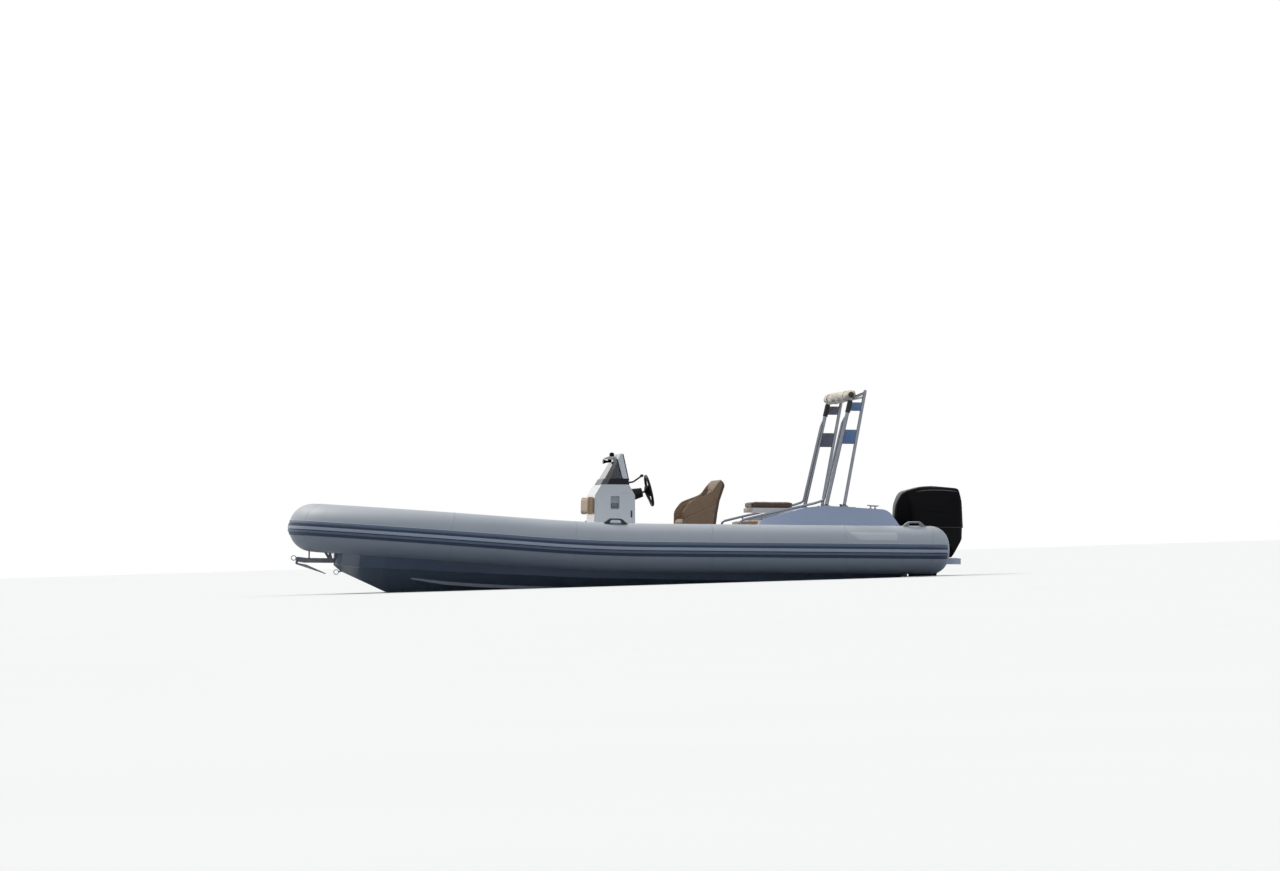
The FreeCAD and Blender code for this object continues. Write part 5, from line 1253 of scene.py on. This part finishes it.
def console_face():
    """Display, two gauges, a row of switches and the locker door's edge, seen from the helm."""
    screen = HELM_FACE + Vector((0, 215.0, 0))
    case = slab(rectangle(210.0, 104.0, 10.0), 9.0, screen, FACE_ACROSS, FACE_UP, 3.0)
    made("display_case", [case], black_matte)
    glass = slab(rectangle(186.0, 82.0, 4.0), 1.2, screen + FACE_OUT * 9.0, FACE_ACROSS, FACE_UP, 0.4)
    made("display_glass", [glass], band_dark)
    bezels, dials, marks = [], [], []
    for y in (-150.0, -250.0):
        spot = HELM_FACE + Vector((0, y, 0))
        bezel = [(0.0, 44.0), (5.0, 44.0), (8.0, 41.0), (8.0, 37.0), (5.0, 36.0)]
        bezels.append(turned(bezel, spot, FACE_OUT, 36))
        dials.append(turned([(0.0, 37.0), (4.0, 37.0), (4.2, 1.0)], spot, FACE_OUT, 36))
        for step in range(11):
            angle = math.radians(-130.0 + 26.0 * step)
            way = FACE_ACROSS * math.sin(angle) + FACE_UP * math.cos(angle)
            marks.append(swept([spot + FACE_OUT * 4.4 + way * reach for reach in (27.0, 34.0)], 1.1, 6))
        way = FACE_ACROSS * math.sin(-0.9) + FACE_UP * math.cos(-0.9)
        marks.append(swept([spot + FACE_OUT * 5.0 + way * reach for reach in (-5.0, 24.0)], [1.8, 0.8], 6))
    made("gauge_bezels", bezels, chrome, 50.0)
    made("gauge_dials", dials, dial_face)
    made("gauge_marks", marks, dial_mark)
    switch_x, switch_y, switch_z = CONSOLE_AFT + 0.4, -215.0, 880.0
    plate = slab(rectangle(150.0, 56.0, 8.0), 4.0, (switch_x, switch_y, switch_z), FACE_ACROSS, UP, 1.5)
    made("switch_plate", [plate], bracket_dark)
    key = rectangle(19.0, 34.0, 4.0)
    switches = [
        slab(key, 9.0, (switch_x, switch_y + 27.0 * index, switch_z), FACE_ACROSS, UP, 4.0)
        for index in range(-2, 3)
    ]
    made("switches", switches, black_gloss)
    door = [(CONSOLE_AFT + 0.2, y, z) for y, z in box_outline(-150.0, 150.0, 290.0, 760.0, 26.0, 6)]
    made("console_door_edge", [swept(door, 3.0, closed=True)], joint_grey_and_pocket_shade, 180.0)


console_sides()
console_face()


# Steering wheel: broad dished spokes, hub cap and a sewn grip

WHEEL = AFLOAT @ Matrix.Translation((-385.0, 0.0, 1000.0)) @ Matrix.Rotation(math.radians(-76.0), 4, "Y")
RIM_INSIDE = 143.0
SPOKE = (
    # radius, depth of the middle, half thickness, half width
    (30.0, -32.0, 14.0, 34.0), (60.0, -26.0, 12.0, 48.0), (95.0, -17.0, 10.0, 58.0), (130.0, -6.0, 8.5, 60.0),
    (150.0, 0.0, 7.5, 56.0),
)


def wheel_spoke(angle):
    """Spoke lofted through sections that lie between an ellipse and a rectangle."""
    spin = Matrix.Rotation(math.radians(angle), 4, "Z")
    sides = 20
    vertices = []
    for radius, middle, thick, wide in SPOKE:
        for turn in circle(sides):
            c, s = math.cos(turn), math.sin(turn)
            across = math.copysign(abs(c) ** 0.6, c) * wide
            depth = middle + math.copysign(abs(s) ** 0.6, s) * thick
            vertices.append(spin @ Vector((radius, across, depth)))
    return vertices, skinned(sides, len(SPOKE))


def wheel_dress():
    spokes = [wheel_spoke(angle) for angle in (90.0, 180.0, 270.0)]
    made("wheel_spoke_covers", spokes, black_matte, 60.0, "steering_wheel", WHEEL)
    cap = turned([(-8.0, 34.0), (-2.0, 34.0), (3.0, 30.0), (6.0, 18.0), (7.0, 3.0)], (0, 0, 0), UP, 40)
    made("wheel_hub_cap", [cap], black_gloss, 60.0, "steering_wheel", WHEEL)
    stitches = []
    for angle in circle(120):
        spot = Vector((math.cos(angle), math.sin(angle), 0.0)) * RIM_INSIDE
        slant = Vector((-math.sin(angle), math.cos(angle), 0.0)) * 2.4 - Vector((0, 0, 1.6))
        stitches.append(swept([spot - slant, spot + slant], 0.9, 5))
    made("wheel_stitches", stitches, rubber, 180.0, "steering_wheel", WHEEL)


wheel_dress()


# Deck fittings

PLATFORM_TOP = 313.5
FITTING_Y = 775.0


def deck_fittings():
    knobs = []
    cleats = []
    for node, side in (("coaming_port", 1), ("coaming_starboard", -1)):
        spot, normal = cast(node, (-2300.0, side * FITTING_Y, 1400.0), (0, 0, -1))
        knob = [(-3.0, 17.0), (3.0, 17.0), (5.0, 8.0), (14.0, 8.0), (16.0, 14.0), (24.0, 14.0), (27.0, 9.0)]
        knobs.append(turned(knob, spot, normal))
        spot, normal = cast(node, (-2640.0, side * FITTING_Y, 1400.0), (0, 0, -1))
        ahead = Vector(PORT).cross(normal).normalized()
        horns = ((-62.0, 34.0), (-30.0, 30.0), (30.0, 30.0), (62.0, 34.0))
        route = [spot + ahead * along + normal * height for along, height in horns]
        cleats.append(swept(route, [5.0, 8.0, 8.0, 5.0], 12))
        for way in (-24.0, 24.0):
            foot = [(-2.0, 15.0), (4.0, 14.0), (9.0, 8.0), (30.0, 7.0)]
            cleats.append(turned(foot, spot + ahead * way, normal, 20))
    tread = rounded([(-2990.0, 502.0), (-2990.0, 720.0), (-3488.0, 720.0, 50.0), (-3566.0, 650.0, 50.0),
                     (-3566.0, 502.0)], 24.0, 6)
    treads = [slab(tread, 4.0, (0.0, 0.0, PLATFORM_TOP), (1, 0, 0), PORT, 1.2)]
    made("swim_platform_treads", both(treads), deck_grip, 30.0)
    made("coaming_knobs", knobs, black_matte, 50.0)
    made("coaming_cleats", cleats, stainless, 50.0)


deck_fittings()


# Floor, light and camera

FLOOR_REACH = 260.0
CAMERA_FAR = 63.0
CAMERA_TURN = math.radians(6.9)
CAMERA_HEIGHT = 0.33
CAMERA_ROLL = math.radians(1.72)
AIM = Vector((-0.345, 0.0, 1.566))


def stage_floor():
    """Water's surface as a plain white floor, which throws only a dim bluish light back up."""
    mesh = bpy.data.meshes.new("floor")
    corners = [(x * FLOOR_REACH, y * FLOOR_REACH, 0) for x, y in ((-1, -1), (1, -1), (1, 1), (-1, 1))]
    mesh.from_pydata(corners, [], [(0, 1, 2, 3)])
    surface = Surface("floor_white", Roughness=0.9, Specular_IOR_Level=0.1)
    pale = surface.mixed(surface.noise(0.4), (0.96, 0.96, 0.96, 1.0), (0.99, 0.99, 0.99, 1.0))
    surface.colour(surface.mixed(surface.seen(), (0.13, 0.16, 0.20, 1.0), pale))
    mesh.materials.append(surface.material)
    floor = bpy.data.objects.new("floor", mesh)
    scene.collection.objects.link(floor)


def studio_world():
    """White where it is seen; as light, bluish and dim near the horizon, warmer and strong overhead."""
    world = bpy.data.worlds.new("studio")
    graph = Graph(world)
    height = graph.height(graph.add("TexCoord").outputs["Generated"])
    light = graph.tree.nodes["Background"]
    graph.feed(light.inputs["Color"], graph.mixed(height, (0.58, 0.76, 1.0, 1.0), (1.0, 0.99, 0.97, 1.0)))
    graph.feed(light.inputs["Strength"], graph.ranged(height, 0.11, 0.82))
    white = graph.add("Background", {"Color": (1.0, 1.0, 1.0, 1.0), "Strength": 1.0})
    shaders = {"Fac": graph.seen(), 1: light.outputs["Background"], 2: white.outputs["Background"]}
    mix = graph.add("MixShader", shaders)
    graph.feed(graph.tree.nodes["World Output"].inputs["Surface"], mix.outputs["Shader"])
    scene.world = world


def soft_sun(name, azimuth, elevation, strength, spread, colour):
    """Distant soft lamp; azimuth is measured from the bow towards port."""
    lamp = bpy.data.lights.new(name, "SUN")
    lamp.energy = strength
    lamp.angle = math.radians(spread)
    lamp.color = colour
    holder = bpy.data.objects.new(name, lamp)
    a, e = math.radians(azimuth), math.radians(elevation)
    towards = Vector((math.cos(a) * math.cos(e), math.sin(a) * math.cos(e), math.sin(e)))
    holder.rotation_mode = "QUATERNION"
    holder.rotation_quaternion = towards.to_track_quat("Z", "Y")
    scene.collection.objects.link(holder)


def photo_camera():
    """Seen from port, a little ahead of the beam, near the water, with the picture's slight roll."""
    data = bpy.data.cameras.new("camera")
    data.sensor_width = 36.0
    data.lens = 168.75
    data.clip_start = 1.0
    data.clip_end = 600.0
    camera = bpy.data.objects.new("camera", data)
    scene.collection.objects.link(camera)
    aside = AIM.x + CAMERA_FAR * math.sin(CAMERA_TURN)
    place = Vector((aside, CAMERA_FAR * math.cos(CAMERA_TURN), CAMERA_HEIGHT))
    ahead = (AIM - place).normalized()
    level_right = ahead.cross(Vector(UP)).normalized()
    level_up = level_right.cross(ahead)
    right = level_right * math.cos(CAMERA_ROLL) - level_up * math.sin(CAMERA_ROLL)
    upright = level_up * math.cos(CAMERA_ROLL) + level_right * math.sin(CAMERA_ROLL)
    turn = Matrix((right, upright, -ahead)).transposed().to_4x4()
    camera.matrix_world = Matrix.Translation(place) @ turn
    scene.camera = camera


stage_floor()
studio_world()
soft_sun("key", -50.0, 46.0, 1.7, 12.0, (1.0, 0.96, 0.88))
soft_sun("fill", 115.0, 28.0, 0.18, 60.0, (0.86, 0.93, 1.0))
photo_camera()
scene.view_settings.view_transform = "Standard"
